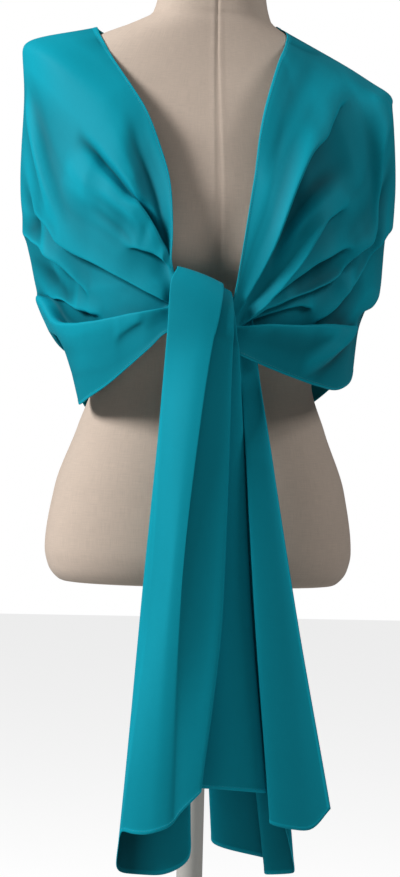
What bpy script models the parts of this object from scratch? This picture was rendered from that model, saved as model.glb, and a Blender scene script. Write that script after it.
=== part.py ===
"""An evening stole tied in front of a dress form on a stand.

The frame: the origin is at the centre of the base's underside, +Z is up, the
wearer faces -Y, and +X is the wearer's left. Sizes are in metres, angles in
degrees. "Turn" is the angle round the form's axis: 0 faces -Y, positive
towards +X, and 180 is the middle of the back.
"""

import math

import bmesh
import bpy
import numpy as np
from mathutils import Vector

# ---------------------------------------------------------------- driving sizes
WALL = 0.0012  # the cloth's wall
PARTING = 0.0003  # the gap between two neighbouring solids
CLEARANCE = 0.0013  # from the form's skin to the cloth's inner side

BASE_RADIUS = 0.190
BASE_RIM = 0.012
POLE_RADIUS = 0.014
COLLAR_RADIUS = 0.030
POLE_INSIDE = 0.060  # how far the pole goes up into the form
POLE_FOOT = 0.0345  # where the pole stands on the base
CAP_LIP = 0.0035  # how far the neck cap stands out past the neck
FORM_BOTTOM = 0.765
NECK_TOP = 1.470
CAP_HEIGHT = 0.014
SHOULDER_TILT = 0.060  # how far the shoulders drop towards +X, for each metre across
TILT_FROM, TILT_TO = 1.15, 1.33  # heights between which the drop comes in
LEVEL_FROM, LEVEL_TO = 1.37, 1.44  # and heights between which the neck levels out again

# The form's rings: height, half width, depth in front of and behind the axis.
FORM_RINGS = [
    # height, half, front, back
    (0.765, 0.156, 0.098, 0.114),
    (0.800, 0.165, 0.107, 0.124),
    (0.865, 0.156, 0.106, 0.114),
    (0.930, 0.133, 0.099, 0.093),
    (0.985, 0.117, 0.092, 0.079),
    (1.045, 0.124, 0.104, 0.084),
    (1.105, 0.138, 0.126, 0.095),
    (1.165, 0.146, 0.121, 0.105),
    (1.220, 0.156, 0.104, 0.108),
    (1.265, 0.170, 0.086, 0.102),
    (1.293, 0.172, 0.075, 0.094),
    (1.315, 0.159, 0.067, 0.087),
    (1.330, 0.141, 0.063, 0.082),
    (1.344, 0.117, 0.060, 0.077),
    (1.358, 0.087, 0.058, 0.072),
    (1.372, 0.0645, 0.056, 0.067),
    (1.385, 0.0600, 0.055, 0.062),
    (1.400, 0.0575, 0.054, 0.058),
    (1.430, 0.0555, 0.054, 0.054),
    (1.470, 0.0545, 0.053, 0.053),
]
RING_POWER = 2.4
BUST_ACROSS, BUST_HEIGHT, BUST_DEPTH = 0.074, 1.108, 0.017
BUST_SPREAD_ACROSS, BUST_SPREAD_UP = 0.044, 0.050


# ---------------------------------------------------------------- curves
def smooth_through(knots, values, at):
    """A curve through the values at the knots that doesn't overshoot between them."""
    knots = np.asarray(knots, float)
    values = np.asarray(values, float)
    at = np.clip(np.asarray(at, float), knots[0], knots[-1])
    step = np.diff(knots)
    shape = (-1,) + (1,) * (values.ndim - 1)
    slope = np.diff(values, axis=0) / step.reshape(shape)
    tangent = np.zeros_like(values)
    tangent[0], tangent[-1] = slope[0], slope[-1]
    before, after = slope[:-1], slope[1:]
    near, far = step[:-1].reshape(shape), step[1:].reshape(shape)
    same_way = before * after > 0
    safe_before = np.where(same_way, before, 1.0)
    safe_after = np.where(same_way, after, 1.0)
    weight_a, weight_b = 2 * far + near, far + 2 * near
    mean = (weight_a + weight_b) / (weight_a / safe_before + weight_b / safe_after)
    tangent[1:-1] = np.where(same_way, mean, 0.0)
    cell = np.clip(np.searchsorted(knots, at, side="right") - 1, 0, len(step) - 1)
    t = ((at - knots[cell]) / step[cell]).reshape(at.shape + (1,) * (values.ndim - 1))
    width = step[cell].reshape(t.shape)
    return (
        (2 * t**3 - 3 * t**2 + 1) * values[cell]
        + (t**3 - 2 * t**2 + t) * width * tangent[cell]
        + (3 * t**2 - 2 * t**3) * values[cell + 1]
        + (t**3 - t**2) * width * tangent[cell + 1]
    )


def ease(value, low, high):
    """0 below low, 1 above high, and a soft step between."""
    t = np.clip((np.asarray(value, float) - low) / (high - low), 0, 1)
    return t * t * (3 - 2 * t)


# ---------------------------------------------------------------- the form's skin
RING_TABLE = np.array(FORM_RINGS)


def form_sizes(height):
    """Half width, front depth and back depth of the form at untilted heights."""
    return np.moveaxis(smooth_through(RING_TABLE[:, 0], RING_TABLE[:, 1:], height), -1, 0)


def drop(across, height):
    """How far the tilt of the shoulders lowers a point."""
    share = ease(height, TILT_FROM, TILT_TO) - ease(height, LEVEL_FROM, LEVEL_TO)
    return SHOULDER_TILT * across * share


def bust(across, height):
    """How far the bust stands out at a place on the front."""
    sideways = (np.abs(across) - BUST_ACROSS) / BUST_SPREAD_ACROSS
    upwards = (height - BUST_HEIGHT) / BUST_SPREAD_UP
    return BUST_DEPTH * np.exp(-(sideways**2) - upwards**2)


def outside(points):
    """Above 0 outside the form and below 0 inside it, in about metres."""
    across, ahead = points[..., 0], points[..., 1]
    height = points[..., 2] + drop(across, points[..., 2])
    half, front, back = form_sizes(height)
    depth = np.where(ahead < 0, front + bust(across, height), back)
    share = (np.abs(across) / half) ** RING_POWER + (np.abs(ahead) / depth) ** RING_POWER
    scale = (half + front + back) / 3
    return (np.maximum(share, 1e-9) ** (1 / RING_POWER) - 1) * scale


def skin_direction(points):
    """Which way is straight out of the form, and how steeply outside() rises there."""
    step = 0.0005
    slopes = np.stack(
        [
            (outside(points + shift) - outside(points - shift)) / (2 * step)
            for shift in np.eye(3) * step
        ],
        axis=-1,
    )
    steepness = np.linalg.norm(slopes, axis=-1, keepdims=True)
    return slopes / steepness, steepness[..., 0]


def clear_of_form(points, gap, rounds=6):
    """The same points, with those nearer the form than gap moved straight out of it."""
    points = points.copy()
    for _ in range(rounds):
        way, steepness = skin_direction(points)
        short = np.maximum(gap - outside(points) / steepness, 0)
        points += way * short[..., None]
    return points


# ---------------------------------------------------------------- the wrap
# Shares of the cloth's width, from the neckline edge (0) to the hem edge (1).
WIDTH_ROWS = (0.0, 0.12, 0.25, 0.40, 0.55, 0.70, 0.85, 1.0)

FINE_ROWS = 500  # rows the wrap is worked out on
ROLL_ROWS = (-1.8, -0.4, 0.4, 1.0, 1.7, 2.8)  # rows of the mesh at a fold, in rolls
EVENNESS = 0.12  # how far the rows are moved towards being evenly apart

RIGHT_SEAM, LEFT_SEAM = 0.34, 0.66  # where along it the front stretches meet the back one
SEAM = 0.0010
# Where the mesh's columns crowd: going into the knot from the right, and out of it.
KNOT_COLUMNS = (0.0, 0.020, 0.033, 0.041, 0.048, 0.058)

# Sections across the wrap, in order from the knot's right, round the back and to
# its left: how far along, the turn, then (out, up) at each of the rows above.
SECTIONS = [
    # along, turn, (out, up) from the neckline to the hem
    (0.000, -9, (0.163, 1.060), (0.163, 1.056), (0.163, 1.051), (0.163, 1.046),
     (0.163, 1.041), (0.163, 1.037), (0.163, 1.032), (0.163, 1.028)),
    (0.045, -18, (0.166, 1.092), (0.166, 1.082), (0.165, 1.072), (0.165, 1.062),
     (0.164, 1.052), (0.164, 1.043), (0.164, 1.033), (0.164, 1.024)),
    (0.190, -50, (0.131, 1.295), (0.150, 1.262), (0.164, 1.215), (0.172, 1.160),
     (0.172, 1.105), (0.170, 1.060), (0.165, 1.012), (0.157, 0.962)),
    (0.340, -90, (0.124, 1.359), (0.197, 1.332), (0.199, 1.280), (0.194, 1.205),
     (0.186, 1.140), (0.174, 1.082), (0.163, 1.030), (0.146, 0.988)),
    (0.420, -135, (0.100, 1.352), (0.150, 1.330), (0.168, 1.278), (0.173, 1.205),
     (0.172, 1.130), (0.166, 1.060), (0.160, 0.995), (0.156, 0.930)),
    (0.500, -180, (0.083, 1.338), (0.108, 1.305), (0.124, 1.250), (0.131, 1.180),
     (0.134, 1.105), (0.134, 1.030), (0.136, 0.950), (0.141, 0.872)),
    (0.580, -225, (0.088, 1.354), (0.140, 1.330), (0.163, 1.275), (0.170, 1.200),
     (0.170, 1.128), (0.165, 1.060), (0.160, 0.998), (0.157, 0.940)),
    (0.660, -270, (0.070, 1.370), (0.172, 1.318), (0.193, 1.275), (0.193, 1.205),
     (0.184, 1.140), (0.175, 1.085), (0.166, 1.045), (0.163, 1.000)),
    (0.810, -310, (0.093, 1.322), (0.140, 1.280), (0.163, 1.220), (0.172, 1.160),
     (0.172, 1.105), (0.170, 1.060), (0.166, 1.015), (0.158, 0.975)),
    (0.960, -353, (0.160, 1.088), (0.161, 1.079), (0.161, 1.068), (0.161, 1.057),
     (0.161, 1.046), (0.161, 1.034), (0.161, 1.020), (0.162, 1.006)),
    (1.000, -360, (0.163, 1.050), (0.163, 1.046), (0.163, 1.041), (0.163, 1.036),
     (0.163, 1.032), (0.163, 1.026), (0.163, 1.020), (0.163, 1.014)),
]

# The neckline edge and the hem edge, which the surface meets exactly.
NECKLINE = [
    # along, turn, out, up
    (0.000, -9, 0.1630, 1.0600),
    (0.030, -14.5, 0.1660, 1.0680),
    (0.040, -16.4, 0.1680, 1.0800),
    (0.047, -17.6, 0.1690, 1.0915),
    (0.070, -18, 0.1620, 1.1245),
    (0.110, -20, 0.1520, 1.1760),
    (0.150, -27, 0.1420, 1.2236),
    (0.178, -34, 0.1360, 1.2557),
    (0.205, -42, 0.1320, 1.2780),
    (0.250, -59, 0.1255, 1.3130),
    (0.300, -76, 0.1250, 1.3440),
    (0.340, -90, 0.1240, 1.3590),
    (0.420, -135, 0.1000, 1.3520),
    (0.500, -180, 0.0830, 1.3380),
    (0.580, -225, 0.0820, 1.3540),
    (0.660, -270, 0.0700, 1.3680),
    (0.720, -298, 0.0850, 1.3450),
    (0.790, -322, 0.1010, 1.3080),
    (0.835, -336, 0.1210, 1.2610),
    (0.880, -344, 0.1350, 1.2065),
    (0.915, -349, 0.1480, 1.1535),
    (0.945, -353, 0.1600, 1.1010),
    (0.957, -354.2, 0.1620, 1.0820),
    (0.967, -355.3, 0.1630, 1.0600),
    (0.980, -357, 0.1630, 1.0550),
    (1.000, -360, 0.1630, 1.0500),
]
HEM = [
    # along, turn, out, up
    (0.000, -9, 0.1630, 1.0280),
    (0.040, -18, 0.1690, 1.0270),
    (0.075, -24, 0.1700, 1.0110),
    (0.115, -32, 0.1660, 0.9930),
    (0.165, -44, 0.1605, 0.9710),
    (0.205, -54, 0.1560, 0.9600),
    (0.250, -66, 0.1480, 0.9520),
    (0.295, -82, 0.1390, 0.9660),
    (0.330, -98, 0.1460, 0.9880),
    (0.420, -135, 0.1560, 0.9400),
    (0.500, -180, 0.1410, 0.8800),
    (0.580, -225, 0.1570, 0.9450),
    (0.660, -270, 0.1630, 1.0000),
    (0.720, -288, 0.1600, 0.9830),
    (0.775, -305, 0.1580, 0.9740),
    (0.825, -319, 0.1590, 0.9780),
    (0.870, -332, 0.1590, 0.9860),
    (0.915, -344, 0.1610, 0.9960),
    (0.955, -353, 0.1660, 1.0050),
    (1.000, -360, 0.1630, 1.0140),
]

# A fold's own profile: how far the cloth is from its crest, measured in rolls,
# where that cloth goes to along the wrap's width, and how far it stands out.
ROLL_PROFILE = [
    # from, to, out
    (-4.0, -4.00, 0.00),
    (-2.4, -2.05, 0.22),
    (-1.0, -0.35, 0.75),
    (0.0, 0.62, 1.00),
    (0.6, 0.98, 0.62),
    (1.1, 0.72, 0.12),
    (1.6, 0.60, -0.32),
    (2.3, 1.25, -0.52),
    (3.3, 2.90, -0.22),
    (4.5, 4.50, 0.00),
]

# The folds. Lean is 1 where the crest hangs over the side towards the hem and -1
# where it hangs towards the neckline. Rows: along, share of width, height, roll.
FOLDS = {
    "right lapel": (-1, [
        (0.000, 0.160, 0.000, 0.0020),
        (0.045, 0.170, 0.0012, 0.0024),
        (0.075, 0.175, 0.005, 0.0033),
        (0.110, 0.225, 0.010, 0.0060),
        (0.160, 0.265, 0.011, 0.0085),
        (0.200, 0.265, 0.008, 0.0090),
        (0.245, 0.260, 0.000, 0.0100),
        (0.340, 0.250, 0.000, 0.0120),
    ]),
    "right upper swag": (1, [
        (0.000, 0.300, 0.000, 0.0020),
        (0.045, 0.300, 0.0012, 0.0024),
        (0.065, 0.290, 0.004, 0.0031),
        (0.095, 0.330, 0.006, 0.0045),
        (0.125, 0.400, 0.005, 0.0070),
        (0.165, 0.420, 0.000, 0.0090),
        (0.340, 0.350, 0.000, 0.0120),
    ]),
    "right middle swag": (1, [
        (0.000, 0.460, 0.000, 0.0020),
        (0.045, 0.480, 0.0012, 0.0024),
        (0.072, 0.520, 0.005, 0.0028),
        (0.116, 0.562, 0.008, 0.0045),
        (0.170, 0.575, 0.010, 0.0060),
        (0.220, 0.562, 0.011, 0.0075),
        (0.262, 0.530, 0.012, 0.0085),
        (0.305, 0.475, 0.010, 0.0100),
        (0.340, 0.445, 0.008, 0.0110),
        (0.420, 0.400, 0.007, 0.0120),
        (0.500, 0.370, 0.006, 0.0120),
        (0.570, 0.360, 0.000, 0.0120),
    ]),
    "right elbow swag": (1, [
        (0.000, 0.600, 0.000, 0.0020),
        (0.040, 0.580, 0.000, 0.0022),
        (0.120, 0.650, 0.000, 0.0050),
        (0.190, 0.655, 0.000, 0.0060),
        (0.222, 0.640, 0.008, 0.0065),
        (0.262, 0.620, 0.012, 0.0075),
        (0.313, 0.592, 0.010, 0.0085),
        (0.340, 0.585, 0.008, 0.0095),
        (0.400, 0.560, 0.006, 0.0110),
        (0.460, 0.545, 0.000, 0.0110),
    ]),
    "right lower swag": (1, [
        (0.000, 0.760, 0.000, 0.0020),
        (0.040, 0.700, 0.0012, 0.0024),
        (0.060, 0.680, 0.005, 0.0026),
        (0.095, 0.710, 0.007, 0.0040),
        (0.135, 0.745, 0.008, 0.0055),
        (0.185, 0.752, 0.011, 0.0070),
        (0.240, 0.740, 0.013, 0.0080),
        (0.290, 0.735, 0.013, 0.0085),
        (0.340, 0.725, 0.010, 0.0095),
        (0.420, 0.700, 0.008, 0.0115),
        (0.500, 0.680, 0.007, 0.0120),
        (0.560, 0.650, 0.004, 0.0120),
        (0.610, 0.620, 0.000, 0.0110),
    ]),
    "left lapel": (-1, [
        (0.660, 0.180, 0.000, 0.0110),
        (0.700, 0.180, 0.000, 0.0110),
        (0.760, 0.175, 0.006, 0.0110),
        (0.810, 0.190, 0.011, 0.0095),
        (0.860, 0.215, 0.012, 0.0080),
        (0.895, 0.250, 0.010, 0.0060),
        (0.925, 0.320, 0.007, 0.0035),
        (0.955, 0.330, 0.004, 0.0024),
        (1.000, 0.250, 0.000, 0.0020),
    ]),
    "left upper swag": (1, [
        (0.660, 0.260, 0.000, 0.0090),
        (0.735, 0.300, 0.000, 0.0080),
        (0.792, 0.450, 0.005, 0.0080),
        (0.840, 0.480, 0.008, 0.0070),
        (0.885, 0.510, 0.008, 0.0050),
        (0.920, 0.540, 0.006, 0.0034),
        (0.955, 0.500, 0.003, 0.0024),
        (1.000, 0.450, 0.000, 0.0020),
    ]),
    "left outer swag": (1, [
        (0.560, 0.350, 0.000, 0.0120),
        (0.610, 0.345, 0.005, 0.0120),
        (0.660, 0.335, 0.008, 0.0110),
        (0.720, 0.360, 0.011, 0.0100),
        (0.752, 0.480, 0.012, 0.0085),
        (0.790, 0.575, 0.012, 0.0080),
        (0.845, 0.618, 0.010, 0.0065),
        (0.890, 0.620, 0.008, 0.0045),
        (0.922, 0.640, 0.006, 0.0032),
        (0.955, 0.640, 0.003, 0.0024),
        (1.000, 0.620, 0.000, 0.0020),
    ]),
    "left lower swag": (1, [
        (0.560, 0.500, 0.000, 0.0120),
        (0.620, 0.510, 0.006, 0.0120),
        (0.660, 0.520, 0.008, 0.0110),
        (0.700, 0.535, 0.010, 0.0100),
        (0.740, 0.595, 0.012, 0.0090),
        (0.780, 0.665, 0.013, 0.0080),
        (0.830, 0.730, 0.012, 0.0065),
        (0.880, 0.755, 0.009, 0.0050),
        (0.925, 0.755, 0.006, 0.0032),
        (0.955, 0.780, 0.003, 0.0024),
        (1.000, 0.800, 0.000, 0.0020),
    ]),
    "left elbow swag": (1, [
        (0.540, 0.690, 0.000, 0.0120),
        (0.600, 0.700, 0.006, 0.0115),
        (0.660, 0.715, 0.010, 0.0100),
        (0.710, 0.735, 0.008, 0.0090),
        (0.750, 0.760, 0.000, 0.0080),
    ]),
}
# The folds that the rows of each stretch of the wrap follow.
RIGHT_FOLDS = ("right lapel", "right upper swag", "right middle swag", "right elbow swag",
               "right lower swag")
BACK_FOLDS = ("right middle swag", "left lower swag", "right lower swag")
LEFT_FOLDS = ("left lapel", "left upper swag", "left outer swag", "left lower swag")

SECTION_TABLE = np.array([section[2:] for section in SECTIONS])
SECTION_ALONG = np.array([section[0] for section in SECTIONS])
SECTION_TURN = np.array([section[1] for section in SECTIONS], float)


def place(turn, out, up):
    """Points from turns in degrees, distances out from the axis, and heights."""
    angle = np.radians(turn)
    return np.stack([out * np.sin(angle), -out * np.cos(angle), up], axis=-1)


def wrap_base(along, across):
    """The wrap before its folds: a point for each share along and across."""
    rows = smooth_through(SECTION_ALONG, SECTION_TABLE, along)
    sheet = np.moveaxis(smooth_through(WIDTH_ROWS, np.moveaxis(rows, 1, 0), across), 1, 0)
    turn = smooth_through(SECTION_ALONG, SECTION_TURN, along)
    turn = np.repeat(turn[:, None], len(across), axis=1)
    sheet = np.concatenate([turn[..., None], sheet], axis=-1)
    for table, end, share in ((NECKLINE, 0, 1 - across), (HEM, -1, across)):
        table = np.array(table)
        missing = smooth_through(table[:, 0], table[:, 1:], along) - sheet[:, end]
        sheet = sheet + (share**3)[None, :, None] * missing[:, None, :]
    return place(sheet[..., 0], sheet[..., 1], sheet[..., 2])


def unit(vectors):
    """The same vectors at length 1."""
    return vectors / np.maximum(np.linalg.norm(vectors, axis=-1, keepdims=True), 1e-9)


def fold_rows(rows, along):
    """A fold's share of the width, height and roll at places along the wrap."""
    rows = np.array(rows)
    share, height, roll = smooth_through(rows[:, 0], rows[:, 1:], along).T
    return share, height * (along >= rows[0, 0]) * (along <= rows[-1, 0]), roll


def row_places(reached, folds, between):
    """Where the rows lie across the wrap: some at fixed places of each fold, the rest between.

    reached is the distance from the neckline on the fine rows, and folds gives the
    lean, crest and roll of each fold. Gives an array of (along, row) distances.
    """
    full = reached[:, -1:]
    marks = [np.zeros_like(full)]
    for lean, crest, roll in folds:
        offsets = np.sort(lean * np.array(ROLL_ROWS))
        marks.append(crest[:, None] + roll[:, None] * offsets[None, :])
    marks.append(full)
    marks = np.concatenate(marks, axis=1)
    marks = np.sort(np.clip(marks, 0.02 * full, 0.985 * full), axis=1)
    marks[:, 0], marks[:, -1] = 0, full[:, 0]
    size = len(ROLL_ROWS)
    places = []
    for index in range(marks.shape[1] - 1):
        wide = index % size == 0
        steps = between if wide else 1
        low, high = marks[:, index], marks[:, index + 1]
        places += [low + (high - low) * step / steps for step in range(steps)]
    places.append(marks[:, -1])
    places = np.stack(places, axis=1)
    even = np.linspace(0, 1, places.shape[1])[None, :] * full
    return places * (1 - EVENNESS) + even * EVENNESS


def folded_wrap(along, names, between):
    """The wrap with its folds, clear of the form, on rows that follow the named folds."""
    across = np.linspace(0, 1, FINE_ROWS)
    sheet = wrap_base(along, across)
    down = np.gradient(sheet, axis=1)
    width = np.linalg.norm(down, axis=-1)
    reached = np.cumsum(width, axis=1) - width[:, :1]
    down = unit(down)
    out = unit(np.cross(unit(np.gradient(sheet, axis=0)), down))
    out *= np.where(np.sum(out * (sheet - [0, 0, 0.9]), axis=-1, keepdims=True) < 0, -1, 1)
    profile = np.array(ROLL_PROFILE)
    move_down = np.zeros_like(reached)
    move_out = np.zeros_like(reached)
    followed = []
    for name, (lean, rows) in FOLDS.items():
        share, height, roll = fold_rows(rows, along)
        crest = np.array([np.interp(s, across, r) for s, r in zip(share, reached)])
        if name in names:
            followed.append((lean, crest, roll))
        local = lean * (reached - crest[:, None]) / roll[:, None]
        inside = (local > profile[0, 0]) & (local < profile[-1, 0])
        moved = smooth_through(profile[:, 0], profile[:, 1:], local)
        strength = np.clip(height / 0.005, 0, 1)[:, None] * inside
        move_down += lean * roll[:, None] * (moved[..., 0] - local) * strength
        move_out += height[:, None] * moved[..., 1] * inside
    sheet = sheet + down * move_down[..., None] + out * move_out[..., None]
    sheet = clear_of_form(sheet, WALL / 2 + CLEARANCE)
    rows = []
    for places, distance, column in zip(row_places(reached, followed, between), reached, sheet):
        at = np.interp(places, distance, np.arange(FINE_ROWS))
        low = np.minimum(at.astype(int), FINE_ROWS - 2)
        part = (at - low)[:, None]
        rows.append(column[low] * (1 - part) + column[low + 1] * part)
    return np.array(rows)


# ---------------------------------------------------------------- the tails
# The tie's two ends hang in pleats. Each row is a place across the cloth: its share
# of the width, x at each of the levels below, how many layers back it lies, and the
# height of its hem.
TAIL_LEVELS = (1.059, 0.959, 0.759, 0.568, 0.460)
OVER_PLEATS = [
    # share, x at the knot, upper, lower, hem, layer, hem height
    (0.00, -0.0227, -0.0335, -0.0535, -0.0606, 7.0, 0.506),
    (0.08, 0.0024, -0.0135, -0.0254, -0.0183, 7.0, 0.504),
    (0.10, 0.0024, -0.0135, -0.0254, -0.0183, 5.9, 0.500),
    (0.15, -0.0229, -0.0339, -0.0488, -0.0489, 5.7, 0.479),
    (0.22, -0.0543, -0.0570, -0.0714, -0.0850, 5.0, 0.482),
    (0.25, -0.0551, -0.0587, -0.0730, -0.0850, 1.0, 0.528),
    (0.33, -0.0337, -0.0381, -0.0499, -0.0609, 0.2, 0.525),
    (0.40, -0.0021, -0.0168, -0.0242, -0.0352, -0.4, 0.533),
    (0.43, -0.0086, -0.0218, -0.0266, -0.0306, 0.8, 0.536),
    (0.50, 0.0113, 0.0092, 0.0069, -0.0107, 0.8, 0.569),
    (0.54, 0.0096, 0.0067, 0.0039, -0.0132, 1.9, 0.571),
    (0.62, -0.0334, -0.0352, -0.0430, -0.0501, 1.9, 0.572),
    (0.66, -0.0352, -0.0368, -0.0446, -0.0517, 3.0, 0.571),
    (0.76, -0.0041, -0.0046, -0.0003, 0.0128, 3.0, 0.568),
    (0.84, 0.0100, 0.0232, 0.0384, 0.0571, 2.9, 0.564),
    (0.87, 0.0090, 0.0210, 0.0355, 0.0537, 4.0, 0.570),
    (1.00, -0.0180, -0.0191, -0.0138, -0.0007, 4.1, 0.572),
]
UNDER_PLEATS = [
    # share, x at the knot, upper, lower, hem, layer, hem height
    (0.00, 0.0289, 0.0457, 0.0806, 0.1215, 0.0, 0.551),
    (0.07, 0.0258, 0.0374, 0.0672, 0.0926, -0.3, 0.528),
    (0.13, 0.0183, 0.0225, 0.0365, 0.0593, 0.0, 0.535),
    (0.16, 0.0200, 0.0251, 0.0407, 0.0630, 1.1, 0.538),
    (0.26, 0.0271, 0.0434, 0.0732, 0.1060, 1.1, 0.545),
    (0.29, 0.0263, 0.0420, 0.0708, 0.1036, 2.2, 0.546),
    (0.39, 0.0172, 0.0267, 0.0484, 0.0698, 2.2, 0.543),
    (0.42, 0.0184, 0.0283, 0.0510, 0.0735, 3.3, 0.539),
    (0.45, 0.0235, 0.0366, 0.0613, 0.0818, 3.3, 0.490),
    (0.48, 0.0235, 0.0366, 0.0613, 0.0818, 4.4, 0.482),
    (0.57, 0.0011, 0.0079, 0.0225, 0.0490, 4.4, 0.479),
    (0.60, 0.0023, 0.0095, 0.0261, 0.0517, 5.5, 0.485),
    (0.68, 0.0197, 0.0290, 0.0477, 0.0703, 5.5, 0.487),
    (0.71, 0.0188, 0.0275, 0.0462, 0.0678, 6.6, 0.490),
    (0.84, -0.0259, -0.0206, -0.0111, 0.0032, 6.6, 0.510),
    (0.88, -0.0237, -0.0181, -0.0076, 0.0077, 7.7, 0.516),
    (1.00, -0.0053, 0.0046, 0.0254, 0.0459, 7.7, 0.521),
]
# The outermost layer of the end that comes up behind the knot and falls over it, and
# that of the end that comes out from beneath.
OVER_ROLL = [
    # ahead, up, to the height the hanging begins at
    (-0.1232, 1.0400),
    (-0.1232, 1.0570),
    (-0.1295, 1.0760),
    (-0.1440, 1.0900),
    (-0.1640, 1.0935),
    (-0.1780, 1.0850),
    (-0.1845, 1.0680),
    (-0.1860, 1.0480),
    (-0.1860, 1.0300),
]
OVER_HANG = [(0.46, -0.178), (0.60, -0.180), (0.75, -0.182), (0.90, -0.184), (1.03, -0.186)]
UNDER_HANG = [(0.46, -0.161), (0.60, -0.161), (0.75, -0.160), (0.90, -0.157), (1.00, -0.1505),
              (1.044, -0.1505)]
LAYER_SPACE = [(0.46, 0.0047), (0.60, 0.0045), (0.80, 0.0036), (0.95, 0.0024), (1.03, 0.0017)]
UNDER_TOP = 1.044
TOP_NARROWING = 0.13  # how much narrower the band is at its top edge
TOP_EDGE_FALL = 0.33  # how steeply the knot's top edge falls towards +X
TOP_EDGE_LEFT = -0.0475  # where it is highest
FALL_FROM, FALL_TO = 0.99, 1.06


def along_table(table, at):
    """A smooth curve through a table whose first column is where."""
    table = np.array(table)
    return smooth_through(table[:, 0], table[:, 1:], at)


def pleats_across(pleats, shares, heights):
    """x, layer and hem height of the pleats, for shares across and a height for each."""
    table = np.array(pleats)
    rows = smooth_through(table[:, 0], table[:, 1:], shares)
    edge = rows[:, 3:4] + (rows[:, 3:4] - rows[:, 2:3]) * 0.56
    columns = np.concatenate([rows[:, :4], edge], axis=1)
    levels = np.array(TAIL_LEVELS)[::-1]
    across = np.stack(
        [smooth_through(levels, column[::-1], height) for column, height in zip(columns, heights.T)],
        axis=1,
    )
    return across, rows[:, 4], rows[:, 5]


def hanging(pleats, shares, steps, top, front):
    """The part of a tail that hangs: from the top height down to each row's hem."""
    table = np.array(pleats)
    hem = smooth_through(table[:, 0], table[:, 6:], shares)[:, 0]
    heights = top + (hem[None, :] - top) * np.linspace(0, 1, steps)[:, None]
    across, layer, _ = pleats_across(pleats, shares, heights)
    space = along_table(LAYER_SPACE, heights)[..., 0]
    ahead = along_table(front, heights)[..., 0] + layer[None, :] * space
    return np.stack([across, ahead, heights], axis=-1)


def tail_over(shares, steps, roll_steps):
    """The end that rises behind the knot, turns over its top and hangs in front."""
    roll = np.array(OVER_ROLL)
    reach = np.concatenate([[0], np.cumsum(np.linalg.norm(np.diff(roll, axis=0), axis=1))])
    at = np.linspace(0, reach[-1], roll_steps)
    curve = smooth_through(reach, roll, at)
    way = unit(np.gradient(curve, axis=0))
    out = np.stack([way[:, 1], -way[:, 0]], axis=-1)
    out[0], out[-1] = (1, 0), (-1, 0)
    heights = np.full((roll_steps, len(shares)), TAIL_LEVELS[0])
    across, layer, _ = pleats_across(OVER_PLEATS, shares, heights)
    across *= 1 - TOP_NARROWING * ease(curve[:, 1:], TAIL_LEVELS[0], OVER_ROLL[4][1])
    space = along_table(LAYER_SPACE, np.array([1.03]))[0, 0]
    inwards = -out[:, None, :] * (layer * space)[None, :, None]
    turned = curve[:, None, :] + inwards
    top = np.stack([across, turned[..., 0], turned[..., 1]], axis=-1)
    sheet = np.concatenate([top[:-1], hanging(OVER_PLEATS, shares, steps, 1.03, OVER_HANG)])
    fall = TOP_EDGE_FALL * (sheet[..., 0] - TOP_EDGE_LEFT) * ease(sheet[..., 2], FALL_FROM, FALL_TO)
    sheet[..., 2] -= fall
    return sheet


def tail_under(shares, steps):
    """The end that comes out from beneath the knot and hangs behind the other."""
    return hanging(UNDER_PLEATS, shares, steps, UNDER_TOP, UNDER_HANG)


def pleat_shares(pleats, between):
    """Shares across a tail: each row of the table and even steps between them."""
    marks = [row[0] for row in pleats]
    shares = [
        low + (high - low) * step / between
        for low, high in zip(marks[:-1], marks[1:])
        for step in range(between)
    ]
    return np.array(shares + [marks[-1]])


# ---------------------------------------------------------------- building
def material(name, color, roughness, metallic=0.0):
    """A Principled material."""
    made = bpy.data.materials.new(name)
    made.use_nodes = True
    shader = made.node_tree.nodes["Principled BSDF"]
    shader.inputs["Base Color"].default_value = (*color, 1)
    shader.inputs["Roughness"].default_value = roughness
    shader.inputs["Metallic"].default_value = metallic
    made.diffuse_color = (*color, 1)
    return made


def add_object(name, mesh, collection, surface):
    """An object of the mesh, in the collection and with the material."""
    obj = bpy.data.objects.new(name, mesh)
    collection.objects.link(obj)
    mesh.materials.append(surface)
    return obj


def grid_mesh(name, points, closed=False):
    """A mesh of quads through a grid of points, joined round its second side if closed."""
    rows, columns = points.shape[:2]
    mesh = bpy.data.meshes.new(name)
    index = np.arange(rows * columns).reshape(rows, columns)
    if closed:
        index = np.concatenate([index, index[:, :1]], axis=1)
    faces = np.stack([index[:-1, :-1], index[:-1, 1:], index[1:, 1:], index[1:, :-1]], axis=-1)
    mesh.from_pydata(points.reshape(-1, 3).tolist(), [], faces.reshape(-1, 4).tolist())
    return mesh


def cloth_object(name, points, collection, surface):
    """A sheet of cloth with a true wall, built from the grid of its middle surface."""
    obj = add_object(name, grid_mesh(name, points), collection, surface)
    wall = obj.modifiers.new("wall", "SOLIDIFY")
    wall.thickness = WALL
    wall.offset = 0
    wall.use_even_offset = False
    wall.use_quality_normals = True
    return obj


def form_rings(heights, count):
    """The form's skin: a ring of points at each height."""
    turns = np.linspace(0, 2 * math.pi, count, endpoint=False)
    way = np.stack([np.sin(turns), -np.cos(turns), np.zeros(count)], axis=-1)
    reach = np.full((len(heights), count), 0.05)
    for _ in range(40):
        points = way[None] * reach[..., None] + [0, 0, 0]
        points[..., 2] += heights[:, None]
        points[..., 2] -= drop(points[..., 0], heights[:, None])
        gap = outside(points)
        reach -= gap * 0.9
    return points


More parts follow.
